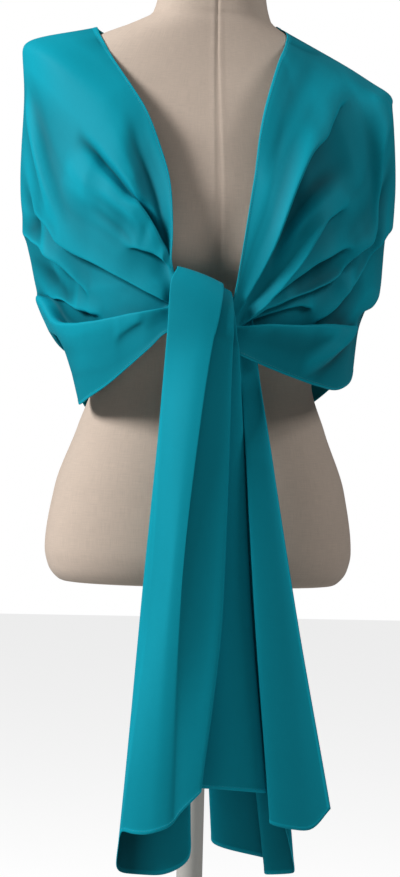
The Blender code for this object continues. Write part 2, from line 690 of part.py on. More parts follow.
def turned(name, outline, collection, surface, sides=32):
    """A solid turned round the vertical axis from its outline of (radius, height)."""
    mesh = bpy.data.meshes.new(name)
    corners = [(radius, 0.0, height) for radius, height in outline]
    mesh.from_pydata(corners, [(i, i + 1) for i in range(len(corners) - 1)], [])
    obj = add_object(name, mesh, collection, surface)
    screw = obj.modifiers.new("turned", "SCREW")
    screw.steps = screw.render_steps = sides
    screw.use_merge_vertices = True
    screw.merge_threshold = 0.00005
    screw.use_normal_calculate = False
    screw.use_normal_flip = True
    return obj


def close_ends(mesh):
    """Caps the two open ends of a lofted tube and turns its faces outwards."""
    shape = bmesh.new()
    shape.from_mesh(mesh)
    bmesh.ops.holes_fill(shape, edges=[e for e in shape.edges if e.is_boundary], sides=0)
    bmesh.ops.recalc_face_normals(shape, faces=shape.faces)
    shape.to_mesh(mesh)
    shape.free()


def build_form(collection, linen, metal):
    """The padded form with its neck cap, standing on its pole and base."""
    heights = np.array([row[0] for row in FORM_RINGS])
    halfway = (heights[1:-1] + heights[:-2])[1:11] / 2
    heights = np.sort(np.concatenate([heights, halfway]))
    torso = grid_mesh("form_torso", form_rings(heights, 36), closed=True)
    close_ends(torso)
    body = add_object("form_torso", torso, collection, linen)
    bore = bpy.data.objects.new("pole bore", bpy.data.meshes.new("pole bore"))
    hole = bmesh.new()
    depth = POLE_INSIDE + 0.02
    bmesh.ops.create_cone(
        hole, cap_ends=True, segments=32, depth=depth,
        radius1=POLE_RADIUS + PARTING, radius2=POLE_RADIUS + PARTING,
    )
    bmesh.ops.translate(hole, verts=hole.verts, vec=(0, 0, FORM_BOTTOM + POLE_INSIDE - depth / 2))
    hole.to_mesh(bore.data)
    hole.free()
    collection.objects.link(bore)
    bore.hide_render = True
    bore.display_type = "WIRE"
    cut = body.modifiers.new("pole bore", "BOOLEAN")
    cut.operation = "DIFFERENCE"
    cut.object = bore
    top = NECK_TOP + PARTING
    neck = 0.0545 + CAP_LIP
    turned("form_neck_cap", [
        (0.0, top), (neck - 0.002, top), (neck, top + 0.002), (neck, top + 0.007),
        (neck - 0.004, top + 0.0105), (0.030, top + CAP_HEIGHT - 0.001), (0.0, top + CAP_HEIGHT),
    ], collection, metal)
    pole_top = FORM_BOTTOM + POLE_INSIDE - PARTING
    collar = FORM_BOTTOM - PARTING
    turned("stand_pole", [
        (0.0, POLE_FOOT), (POLE_RADIUS, POLE_FOOT), (POLE_RADIUS, collar - 0.030),
        (COLLAR_RADIUS - 0.008, collar - 0.026), (COLLAR_RADIUS, collar - 0.008),
        (COLLAR_RADIUS, collar), (POLE_RADIUS, collar), (POLE_RADIUS, pole_top), (0.0, pole_top),
    ], collection, metal)
    turned("stand_base", [
        (0.0, 0.0), (BASE_RADIUS - 0.003, 0.0), (BASE_RADIUS, 0.003), (BASE_RADIUS, BASE_RIM - 0.003),
        (BASE_RADIUS - 0.003, BASE_RIM), (0.060, 0.020), (0.040, 0.026),
        (0.032, POLE_FOOT - PARTING - 0.002), (0.030, POLE_FOOT - PARTING), (0.0, POLE_FOOT - PARTING),
    ], collection, metal, 48)


def knot_columns(end, count):
    """Columns of a front stretch: crowded in the knot and count even ones from there to its end."""
    return np.concatenate([KNOT_COLUMNS, np.linspace(KNOT_COLUMNS[-1] + 0.016, end, count)])


def build_stole(collection, teal):
    """The wrap in its three stretches, and the two ends hanging from the knot."""
    stretches = (
        ("stole_front_right", knot_columns(RIGHT_SEAM, 15), RIGHT_FOLDS),
        ("stole_back", np.linspace(RIGHT_SEAM + SEAM, LEFT_SEAM - SEAM, 19), BACK_FOLDS),
        ("stole_front_left", 1 - knot_columns(1 - LEFT_SEAM, 15)[::-1], LEFT_FOLDS),
    )
    for name, along, folds in stretches:
        cloth_object(name, folded_wrap(along, folds, 2), collection, teal)
    over = tail_over(pleat_shares(OVER_PLEATS, 2), 12, 12)
    cloth_object("stole_tail_over", over, collection, teal)
    under = tail_under(pleat_shares(UNDER_PLEATS, 2), 14)
    cloth_object("stole_tail_under", under, collection, teal)


def main():
    for old in list(bpy.data.objects):
        bpy.data.objects.remove(old)
    collection = bpy.data.collections.new("evening stole on dress form")
    bpy.context.scene.collection.children.link(collection)
    teal = material("teal chiffon", (0.010, 0.250, 0.330), 0.45)
    linen = material("linen cover", (0.58, 0.47, 0.38), 0.85)
    metal = material("painted steel", (0.62, 0.60, 0.56), 0.40)
    build_form(collection, linen, metal)
    build_stole(collection, teal)


if __name__ == "__main__":
    main()
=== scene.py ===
"""The finish of an evening stole that is tied in front of a dress form.

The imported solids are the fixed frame. This file drapes the stole's thin cloth
with its folds and rolled hems, covers the form in sewn linen, and turns the
stand. Sizes are in metres and angles in degrees: +Z is up, the form faces -Y,
and +X is the wearer's left. "Turn" is the angle round the form's axis, 0 at
-Y and positive towards +X.
"""

import logging
import math
from dataclasses import dataclass, field
from enum import Enum
from typing import Sequence

import bpy
import numpy as np
from mathutils import Matrix, Vector


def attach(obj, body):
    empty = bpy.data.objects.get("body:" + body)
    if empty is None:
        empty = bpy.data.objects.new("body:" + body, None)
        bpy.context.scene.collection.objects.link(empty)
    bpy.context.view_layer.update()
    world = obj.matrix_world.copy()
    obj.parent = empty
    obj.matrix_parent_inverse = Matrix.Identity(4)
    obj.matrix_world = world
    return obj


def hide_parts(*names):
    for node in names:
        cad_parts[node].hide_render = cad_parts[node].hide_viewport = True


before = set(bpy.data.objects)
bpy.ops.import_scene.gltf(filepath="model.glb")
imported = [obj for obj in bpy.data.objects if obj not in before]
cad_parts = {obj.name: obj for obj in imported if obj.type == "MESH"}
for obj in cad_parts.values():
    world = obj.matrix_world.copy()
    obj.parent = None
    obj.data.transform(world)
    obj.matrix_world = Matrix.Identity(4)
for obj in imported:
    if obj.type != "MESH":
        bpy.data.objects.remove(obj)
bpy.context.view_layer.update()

LOG = logging.getLogger("stole")
Rows = Sequence[Sequence[float]]
Color = tuple[float, float, float, float]
Tree, Node, Socket = bpy.types.NodeTree, bpy.types.Node, bpy.types.NodeSocket
Thing, Material = bpy.types.Object, bpy.types.Material

# What a table's whole numbers are divided by: shares are in thousandths, lengths in
# tenths of a millimetre, tucks in tenths and hem heights in millimetres.
SHARE, LENGTH, TUCK, HEIGHT = 1000, 10000, 10, 1000
EDGE_UNITS = (SHARE, 1, LENGTH, LENGTH)
FOLD_UNITS = (SHARE, SHARE, LENGTH, LENGTH, TUCK)
PLEAT_UNITS = (SHARE, *[LENGTH] * 8, HEIGHT)


# ------------------------------------------------------------------ named choices
class Slot(Enum):
    """The imported solids that the pieces stand for."""

    RIGHT = "stole_front_right"
    BACK = "stole_back"
    LEFT = "stole_front_left"
    OVER = "stole_tail_over"
    UNDER = "stole_tail_under"
    TORSO = "form_torso"
    CAP = "form_neck_cap"
    POLE = "stand_pole"
    BASE = "stand_base"


class Lean(Enum):
    """The side that a fold's crest hangs over."""

    TO_NECKLINE = -1
    TO_HEM = 1


class Shape(Enum):
    """A fold's own profile.

    Each row is: how far the cloth is from the crest, in rolls; where it goes to
    along the width; how far it stands out, as a share of the fold's height; and
    how far a tuck takes it further along the width.
    """

    ROLL = (
        (-9.0, -9.00, 0.00, 0.00), (-5.0, -4.80, 0.20, 0.00), (-2.4, -2.00, 0.55, 0.15),
        (-1.0, -0.35, 0.86, 0.60), (0.0, 0.62, 1.00, 1.00), (0.6, 0.98, 0.66, 1.00),
        (1.1, 0.72, 0.14, 0.00), (1.6, 0.60, -0.34, -1.00), (2.3, 1.25, -0.58, -0.80),
        (3.6, 3.10, -0.46, -0.20), (6.0, 5.90, -0.20, 0.00), (9.0, 9.00, 0.00, 0.00),
    )
    SWELL = (
        (-3.0, -3.0, 0.00, 0.0), (-2.0, -2.0, 0.14, 0.0), (-1.0, -1.0, 0.62, 0.0),
        (0.0, 0.0, 1.00, 0.0),
        (1.0, 1.0, 0.62, 0.0), (2.0, 2.0, 0.14, 0.0), (3.0, 3.0, 0.00, 0.0),
    )


EDGES = {Shape.ROLL: 0.45, Shape.SWELL: 0.0}  # where a profile's visible edge is


# ------------------------------------------------------------------ curves and grids
def smooth_through(knots: Sequence[float], values: Rows, at: np.ndarray) -> np.ndarray:
    """A cubic Hermite curve with harmonic-mean slopes, so it never overshoots a value.

    Args:
        knots: Where the values are given, rising.
        values: A value, or a row of them, at each knot.
        at: Where the curve is wanted.

    Returns:
        The values at those places.
    """
    knots = np.asarray(knots, float)
    values = np.asarray(values, float)
    at = np.clip(np.asarray(at, float), knots[0], knots[-1])
    step = np.diff(knots)
    shape = (-1,) + (1,) * (values.ndim - 1)
    slope = np.diff(values, axis=0) / step.reshape(shape)
    tangent = np.zeros_like(values)
    tangent[0], tangent[-1] = slope[0], slope[-1]
    before, after = slope[:-1], slope[1:]
    near, far = step[:-1].reshape(shape), step[1:].reshape(shape)
    same_way = before * after > 0
    weight_a, weight_b = 2 * far + near, far + 2 * near
    mean = (weight_a + weight_b) / (
        weight_a / np.where(same_way, before, 1.0) + weight_b / np.where(same_way, after, 1.0)
    )
    tangent[1:-1] = np.where(same_way, mean, 0.0)
    cell = np.clip(np.searchsorted(knots, at, side="right") - 1, 0, len(step) - 1)
    t = ((at - knots[cell]) / step[cell]).reshape(at.shape + (1,) * (values.ndim - 1))
    width = step[cell].reshape(t.shape)
    return (
        (2 * t**3 - 3 * t**2 + 1) * values[cell]
        + (t**3 - 2 * t**2 + t) * width * tangent[cell]
        + (3 * t**2 - 2 * t**3) * values[cell + 1]
        + (t**3 - t**2) * width * tangent[cell + 1]
    )


def along_table(table: Rows, at: np.ndarray) -> np.ndarray:
    """A smooth curve through a table whose first column is where."""
    table = np.array(table)
    return smooth_through(table[:, 0], table[:, 1:], at)


def ease(value: np.ndarray, low: float, high: float) -> np.ndarray:
    """0 below low, 1 above high, and 3t^2 - 2t^3 between."""
    t = np.clip((np.asarray(value, float) - low) / (high - low), 0, 1)
    return t * t * (3 - 2 * t)


def bell(distance: np.ndarray, width: float) -> np.ndarray:
    """exp(-(distance / width)^2)."""
    return np.exp(-((distance / width) ** 2))


def unit(vectors: np.ndarray) -> np.ndarray:
    """The same vectors at length 1."""
    return vectors / np.maximum(np.linalg.norm(vectors, axis=-1, keepdims=True), 1e-9)


def walked(points: np.ndarray, axis: int = 0) -> np.ndarray:
    """How far each point of a line or grid is from the first along an axis, step by step."""
    steps = np.linalg.norm(np.diff(points, axis=axis), axis=-1)
    return np.insert(np.cumsum(steps, axis=axis), 0, 0, axis=axis)


def softened(grid: np.ndarray, spread: float, axis: int) -> np.ndarray:
    """A grid blurred with a Gaussian along one axis, turned odd about its ends so they stay put.

    Args:
        grid: Points or values on a grid.
        spread: The Gaussian's standard deviation, in steps of the grid.
        axis: The axis to blur along.

    Returns:
        The blurred grid.
    """
    grid = np.moveaxis(grid, axis, 0)
    reach = int(math.ceil(3 * spread))
    before = 2 * grid[:1] - grid[reach:0:-1]
    after = 2 * grid[-1:] - grid[-2 : -reach - 2 : -1]
    wide = np.concatenate([before, grid, after])
    weights = np.exp(-0.5 * (np.arange(-reach, reach + 1) / spread) ** 2)
    weights /= weights.sum()
    blurred = sum(weight * wide[i : i + len(grid)] for i, weight in enumerate(weights))
    return np.moveaxis(blurred, 0, axis)


def grid_normals(points: np.ndarray) -> np.ndarray:
    """The unit cross product of a grid's two slopes: across its rows by along its columns."""
    return unit(np.cross(np.gradient(points, axis=0), np.gradient(points, axis=1)))


def steps_and_bends(points: np.ndarray) -> tuple[np.ndarray, np.ndarray]:
    """The length of each step along a grid's rows, and how sharply the way turns after it."""
    steps = np.diff(points, axis=1)
    bends = np.linalg.norm(np.diff(unit(steps), axis=1), axis=-1)
    return np.linalg.norm(steps, axis=-1), np.pad(bends, ((0, 0), (0, 1)), mode="edge")


def crowding(
    step: np.ndarray, bend: np.ndarray, bend_share: float, sharpest: float, hem_share: float
) -> np.ndarray:
    """How closely places should lie: by the steps, more in bends, and more within 5 mm of a hem."""
    distance = np.cumsum(step, axis=-1)
    edge = np.minimum(distance, distance[..., -1:] - distance)
    weight = step + bend_share * np.minimum(bend, sharpest)
    return weight + step * hem_share * bell(edge, 0.005)


def resampled(points: np.ndarray, places: np.ndarray) -> np.ndarray:
    """Each row of a grid taken at fractional places along it, by Catmull-Rom cubics.

    Args:
        points: A grid of (rows, columns, values).
        places: Column numbers wanted for each row, as (rows, wanted).

    Returns:
        A grid of (rows, wanted, values).
    """
    last = points.shape[1] - 1
    low = np.clip(np.floor(places).astype(int), 0, last - 1)
    t = (places - low)[..., None]
    row = np.arange(len(points))[:, None]
    a, b = points[row, np.maximum(low - 1, 0)], points[row, low]
    c, d = points[row, low + 1], points[row, np.minimum(low + 2, last)]
    return b + 0.5 * t * (c - a + t * (2 * a - 5 * b + 4 * c - d + t * (3 * (b - c) + d - a)))


# ------------------------------------------------------------------ meshes
def mesh_object(
    name: str,
    points: np.ndarray,
    faces: np.ndarray,
    uv: np.ndarray | None = None,
    smooth: bool = True,
) -> Thing:
    """An object of quads, or of triangles, with its place in its mesh.

    Args:
        name: The object's name.
        points: The vertices, as (count, 3).
        faces: The vertices' numbers for each face, as (count, 3 or 4).
        uv: A UV for each vertex, as (count, 2).
        smooth: Whether the faces are shaded smooth.

    Returns:
        The object, linked to the scene.
    """
    sides = faces.shape[1]
    mesh = bpy.data.meshes.new(name)
    mesh.vertices.add(len(points))
    mesh.vertices.foreach_set("co", np.ascontiguousarray(points, np.float32).ravel())
    mesh.loops.add(faces.size)
    mesh.loops.foreach_set("vertex_index", np.ascontiguousarray(faces, np.int32).ravel())
    mesh.polygons.add(len(faces))
    mesh.polygons.foreach_set("loop_start", np.arange(len(faces), dtype=np.int32) * sides)
    if uv is not None:
        layer = mesh.uv_layers.new(name="cloth")
        layer.data.foreach_set("uv", np.ascontiguousarray(uv[faces.ravel()], np.float32).ravel())
    mesh.polygons.foreach_set("use_smooth", np.full(len(faces), smooth))
    mesh.update(calc_edges=True)
    mesh.validate()
    made = bpy.data.objects.new(name, mesh)
    bpy.context.scene.collection.objects.link(made)
    return made


def grid_faces(rows: int, columns: int, first: int = 0, closed: bool = False) -> np.ndarray:
    """The quads of a grid whose vertices are numbered row by row from first."""
    index = first + np.arange(rows * columns).reshape(rows, columns)
    if closed:
        index = np.concatenate([index, index[:, :1]], axis=1)
    corners = [index[:-1, :-1], index[1:, :-1], index[1:, 1:], index[:-1, 1:]]
    return np.stack(corners, axis=-1).reshape(-1, 4)


def halved(quads: np.ndarray) -> np.ndarray:
    """Quads cut into triangles."""
    return np.concatenate([quads[:, [0, 1, 2]], quads[:, [0, 2, 3]]])


def rim_numbers(rows: int, columns: int) -> np.ndarray:
    """The numbers of a grid's border vertices, once round from its first corner."""
    index = np.arange(rows * columns).reshape(rows, columns)
    return np.concatenate([index[0, :-1], index[:-1, -1], index[-1, :0:-1], index[:0:-1, 0]])


def turned_mesh(name: str, outline: Rows, sides: int) -> Thing:
    """A solid turned round the vertical axis: each (radius, height) swept through a full turn.

    Args:
        name: The object's name.
        outline: (radius, height) from the axis below, up the outside, to the axis above.
        sides: How many steps the turn has.

    Returns:
        The closed object, its faces outwards.
    """
    outline = np.array(outline)
    angle = np.linspace(0, 2 * math.pi, sides, endpoint=False)
    radius, height = outline[1:-1, :1], outline[1:-1, 1:]
    rings = [radius * np.cos(angle), radius * np.sin(angle), np.repeat(height, sides, axis=1)]
    poles = [[0, 0, outline[0, 1]], [0, 0, outline[-1, 1]]]
    points = np.concatenate([np.stack(rings, axis=-1).reshape(-1, 3), poles])
    low, high = np.full(sides, len(points) - 2), np.full(sides, len(points) - 1)
    here = np.arange(sides)
    after = (here + 1) % sides
    top = (len(radius) - 1) * sides
    faces = [
        halved(grid_faces(len(radius), sides, closed=True)[:, ::-1]),
        np.stack([low, after, here], axis=1),
        np.stack([high, top + here, top + after], axis=1),
    ]
    return mesh_object(name, points, np.concatenate(faces))


def rounded(outline: Rows, radius: float, steps: int = 5) -> np.ndarray:
    """An outline with each inner corner turned into a quadratic arc of about the radius.

    Args:
        outline: (radius, height) corners.
        radius: How far from a corner its arc starts.
        steps: How many steps an arc has.

    Returns:
        The denser outline.
    """
    outline = np.array(outline, float)
    made = [outline[0]]
    t = np.linspace(0, 1, steps)[:, None]
    for before, corner, after in zip(outline[:-2], outline[1:-1], outline[2:]):
        start, end = (
            corner + unit(other - corner) * min(radius, np.linalg.norm(other - corner) / 2)
            for other in (before, after)
        )
        made.extend((1 - t) ** 2 * start + 2 * t * (1 - t) * corner + t**2 * end)
    made.append(outline[-1])
    return np.array(made)


def settle(piece: Thing, material: Material, *slots: Slot) -> Thing:
    """Dresses a piece, lets it ride on the stand and stand for its solids.

    Args:
        piece: The piece, in place.
        material: Its finish.
        *slots: The solids that it stands for, which are hidden.

    Returns:
        The same piece.
    """
    piece.data.materials.clear()
    piece.data.materials.append(material)
    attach(piece, "root")
    if slots:
        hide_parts(*[slot.value for slot in slots])
    triangles = sum(len(polygon.vertices) - 2 for polygon in piece.data.polygons)
    LOG.info("%s: %d triangles", piece.name, triangles)
    return piece


# ------------------------------------------------------------------ shader groups
def node(tree: Tree, kind: str, *feeds: object, **sets: object) -> Node:
    """A new shader node.

    Args:
        tree: The nodes that it joins.
        kind: Its type, without "ShaderNode".
        *feeds: What its first sockets take: a value, or another node's socket.
        **sets: Its settings, and what its other sockets take, by name.

    Returns:
        The node.
    """
    made = tree.nodes.new("ShaderNode" + kind)
    taken = {}
    for name, value in sets.items():
        if hasattr(made, name):
            setattr(made, name, value)
        else:
            taken[name.replace("_", " ")] = value
    pairs = [*zip(made.inputs, feeds), *((made.inputs[name], taken[name]) for name in taken)]
    for socket, value in pairs:
        if isinstance(value, Socket):
            tree.links.new(value, socket)
        else:
            socket.default_value = value
    return made


def reckon(tree: Tree, operation: str, *feeds: float | Socket) -> Socket:
    """The result of one sum, from values and sockets."""
    return node(tree, "Math", *feeds, operation=operation).outputs[0]


def about_one(tree: Tree, value: Socket, middle: float, amount: Socket) -> Socket:
    """1 + (value - middle) * amount."""
    return reckon(tree, "MULTIPLY_ADD", reckon(tree, "SUBTRACT", value, middle), amount, 1.0)


def new_group(
    name: str, values: dict[str, float], results: Sequence[str]
) -> tuple[Tree, Node, Node]:
    """A node group that takes a Vector and some values, with its input and output nodes."""
    group = bpy.data.node_groups.new(name, "ShaderNodeTree")
    new_socket = group.interface.new_socket
    new_socket("Vector", in_out="INPUT", socket_type="NodeSocketVector")
    for title, value in values.items():
        new_socket(title, in_out="INPUT", socket_type="NodeSocketFloat").default_value = value
    for title in results:
        new_socket(title, in_out="OUTPUT", socket_type="NodeSocketFloat")
    return group, group.nodes.new("NodeGroupInput"), group.nodes.new("NodeGroupOutput")


def twill_group() -> Tree:
    """The threads of a woven cloth: two crossed waves of the given pitch, and slubs in the yarn.

    Returns:
        The group. Its height is the higher of a warp and a weft wave, and its
        tone runs a little above and below 1 along the yarns.
    """
    often, seldom = 1400, 60  # slubs for each metre, across the yarn and along it
    group, enter, leave = new_group(
        "woven threads", {"Pitch": 0.0005, "Slub": 0.05}, ("Height", "Tone")
    )
    vector, pitch, slub = enter.outputs[:3]
    turns = reckon(group, "DIVIDE", 2 * math.pi, pitch)
    scaled = node(group, "VectorMath", vector, Scale=turns, operation="SCALE").outputs[0]
    parts = node(group, "SeparateXYZ", scaled)
    waves = [reckon(group, "SINE", parts.outputs[axis]) for axis in "XY"]
    group.links.new(reckon(group, "MAXIMUM", *waves), leave.inputs["Height"])
    slubs = []
    for stretch in ((seldom, often, seldom), (often, seldom, seldom)):
        squeezed = node(group, "VectorMath", vector, stretch, operation="MULTIPLY").outputs[0]
        noise = node(group, "TexNoise", Vector=squeezed, Scale=1.0, Detail=2.0)
        slubs.append(noise.outputs["Fac"])
    tone = about_one(group, reckon(group, "ADD", *slubs), 1.0, slub)
    group.links.new(tone, leave.inputs["Tone"])
    return group


def mottle_group() -> Tree:
    """Slow changes of tone over a surface: noise at a given size, spread about 1.

    Returns:
        The group, with a Tone that multiplies a colour.
    """
    group, enter, leave = new_group("slow mottle", {"Size": 0.05, "Amount": 0.05}, ("Tone",))
    vector, size, amount = enter.outputs[:3]
    often = reckon(group, "DIVIDE", 1.0, size)
    noise = node(group, "TexNoise", Vector=vector, Scale=often, Detail=3.0, Roughness=0.55)
    group.links.new(about_one(group, noise.outputs["Fac"], 0.5, amount), leave.inputs["Tone"])
    return group


@dataclass
class ShaderKit:
    """The node groups that the finishes share."""

    twill: Tree = field(default_factory=twill_group)
    mottle: Tree = field(default_factory=mottle_group)

    def threads(self, tree: Tree, vector: Socket, pitch: float, slub: float) -> Node:
        """The woven threads in a material, at a pitch, with slubs of a strength."""
        return node(tree, "Group", node_tree=self.twill, Vector=vector, Pitch=pitch, Slub=slub)

    def tone(self, tree: Tree, vector: Socket, size: float, amount: float) -> Socket:
        """The slow mottle in a material, of a size and an amount."""
        placed = node(tree, "Group", node_tree=self.mottle, Vector=vector, Size=size, Amount=amount)
        return placed.outputs["Tone"]


# ------------------------------------------------------------------ finishes
@dataclass(frozen=True)
class Finish:
    """What the finishes share: a colour, and how its material is put together."""

    color: Color

    def opened(self, name: str, **values: float | Color) -> tuple[Material, Tree, Node]:
        """A new material, its nodes and its Principled shader with the sockets' values by name."""
        made = bpy.data.materials.new(name)
        made.use_nodes = True
        made.diffuse_color = self.color
        shader = made.node_tree.nodes["Principled BSDF"]
        for title, value in values.items():
            shader.inputs[title.replace("_", " ")].default_value = value
        return made, made.node_tree, shader

    def tint(self, tree: Tree, shader: Node, *tones: Socket) -> None:
        """Feeds the shader with the colour times each of some tones."""
        result = self.color[:3]
        for tone in tones:
            result = node(tree, "VectorMath", result, Scale=tone, operation="SCALE").outputs[0]
        tree.links.new(result, shader.inputs["Base Color"])

    @staticmethod
    def emboss(tree: Tree, shader: Node, height: Socket, strength: float, distance: float) -> None:
        """Feeds the shader with the bumps of a height."""
        bump = node(tree, "Bump", Height=height, Strength=strength, Distance=distance)
        tree.links.new(bump.outputs["Normal"], shader.inputs["Normal"])


@dataclass(frozen=True)
class SatinChiffon(Finish):
    """A light satin weave with a soft lustre and paler hems, with painted shade in its fold hollows
    and painted highlight on its fold crests.
    """

    color: Color = (0.003, 0.283, 0.374, 1.0)
    hem_tone: float = 1.35
    hem_reach: tuple[float, float] = (0.0040, 0.0032)  # how far in its tone starts and is full
    pitch: float = 0.00035
    sheen_tint: Color = (0.45, 0.85, 0.90, 1.0)

    def material(self, name: str, kit: ShaderKit, flat: tuple[float, float]) -> Material:
        """The cloth's material.

        Args:
            name: The material's name.
            kit: The shared node groups.
            flat: The cloth's width and length, whose UVs are in metres.

        Returns:
            A material that reads the piece's own UV map and its painted fold shading.
        """
        made, tree, shader = self.opened(
            name,
            Roughness=0.60,
            Sheen_Weight=0.03,
            Sheen_Roughness=0.35,
            Sheen_Tint=self.sheen_tint,
            Specular_IOR_Level=0.08,
        )
        uv = node(tree, "UVMap", uv_map="cloth").outputs["UV"]
        threads = kit.threads(tree, uv, self.pitch, 0.07)
        mottle = kit.tone(tree, uv, 0.06, 0.07)
        edge = self.hem_mask(tree, uv, flat)
        hem = node(tree, "MapRange", edge, To_Min=1.0, To_Max=self.hem_tone).outputs["Result"]
        # Painted light and shade: the fold shading attribute lightens crests and darkens hollows in
        # the colour.
        folds = node(tree, "Attribute", attribute_name="painted_fold_shading").outputs["Fac"]
        self.tint(tree, shader, threads.outputs["Tone"], mottle, hem, folds)
        self.emboss(tree, shader, threads.outputs["Height"], 0.25, 0.00004)
        return made

    def hem_mask(self, tree: Tree, uv: Socket, flat: tuple[float, float]) -> Socket:
        """1 on the rolled hem at each edge of the cloth and 0 inside it.

        Args:
            tree: The material's nodes.
            uv: The cloth's UVs, in metres along and across.
            flat: The cloth's width and length.

        Returns:
            The mask's socket.
        """
        parts = node(tree, "SeparateXYZ", uv)
        insets = []
        for axis, size in zip("XY", flat[::-1]):
            centred = reckon(tree, "SUBTRACT", parts.outputs[axis], size / 2)
            insets.append(reckon(tree, "SUBTRACT", size / 2, reckon(tree, "ABSOLUTE", centred)))
        nearest = reckon(tree, "MINIMUM", *insets)
        start, full = self.hem_reach
        return node(tree, "MapRange", nearest, From_Min=start, From_Max=full).outputs["Result"]


@dataclass(frozen=True)
class SewingThread(Finish):
    """The polyester thread of the stitches, a shade lighter than the cloth."""

    color: Color = (0.010, 0.40, 0.48, 1.0)

    def material(self, name: str, kit: ShaderKit) -> Material:
        """The thread's material: a plain sheen with a little mottle along it."""
        made, tree, shader = self.opened(name, Roughness=0.42, Sheen_Weight=0.3)
        place = node(tree, "TexCoord").outputs["Object"]
        self.tint(tree, shader, kit.tone(tree, place, 0.004, 0.25))
        return made


@dataclass(frozen=True)
class LinenCover(Finish):
    """The form's unbleached linen-cotton cover."""

    color: Color = (0.70, 0.57, 0.47, 1.0)
    pitch: float = 0.0009

    def material(self, name: str, kit: ShaderKit) -> Material:
        """The cover's material, with its threads on the piece's own UV map."""
        made, tree, shader = self.opened(
            name, Roughness=0.86, Sheen_Weight=0.12, Specular_IOR_Level=0.25
        )
        uv = node(tree, "UVMap", uv_map="cloth").outputs["UV"]
        place = node(tree, "TexCoord").outputs["Object"]
        threads = kit.threads(tree, uv, self.pitch, 0.22)
        self.tint(tree, shader, threads.outputs["Tone"], kit.tone(tree, place, 0.09, 0.12))
        self.emboss(tree, shader, threads.outputs["Height"], 0.5, 0.00015)
        return made


@dataclass(frozen=True)
class PaintedSteel(Finish):
    """Satin powder paint on steel, with its faint orange peel."""

    color: Color = (0.60, 0.58, 0.54, 1.0)
    peel: float = 700.0  # bumps for each metre

    def material(self, name: str, kit: ShaderKit) -> Material:
        """The paint's material, whose tone varies a little."""
        made, tree, shader = self.opened(
            name, Roughness=0.38, Coat_Weight=0.15, Coat_Roughness=0.2
        )
        place = node(tree, "TexCoord").outputs["Object"]
        self.tint(tree, shader, kit.tone(tree, place, 0.05, 0.08))
        peel = node(tree, "TexNoise", Vector=place, Scale=self.peel, Detail=2.0).outputs["Fac"]
        self.emboss(tree, shader, peel, 0.15, 0.0002)
        return made


@dataclass(frozen=True)
class PaleFloor(Finish):
    """A matt floor that the camera sees lifted towards white."""

    color: Color = (0.62, 0.62, 0.62, 1.0)
    lift: float = 0.78

    def material(self, name: str, kit: ShaderKit) -> Material:
        """The floor's material, with a glow that only the camera's rays meet."""
        made, tree, shader = self.opened(name, Roughness=0.75, Emission_Color=(1, 1, 1, 1))
        place = node(tree, "TexCoord").outputs["Object"]
        self.tint(tree, shader, kit.tone(tree, place, 0.8, 0.03))
        seen = node(tree, "LightPath").outputs["Is Camera Ray"]
        glow = node(tree, "MapRange", seen, To_Min=0.0, To_Max=self.lift).outputs["Result"]
        tree.links.new(glow, shader.inputs["Emission Strength"])
        return made


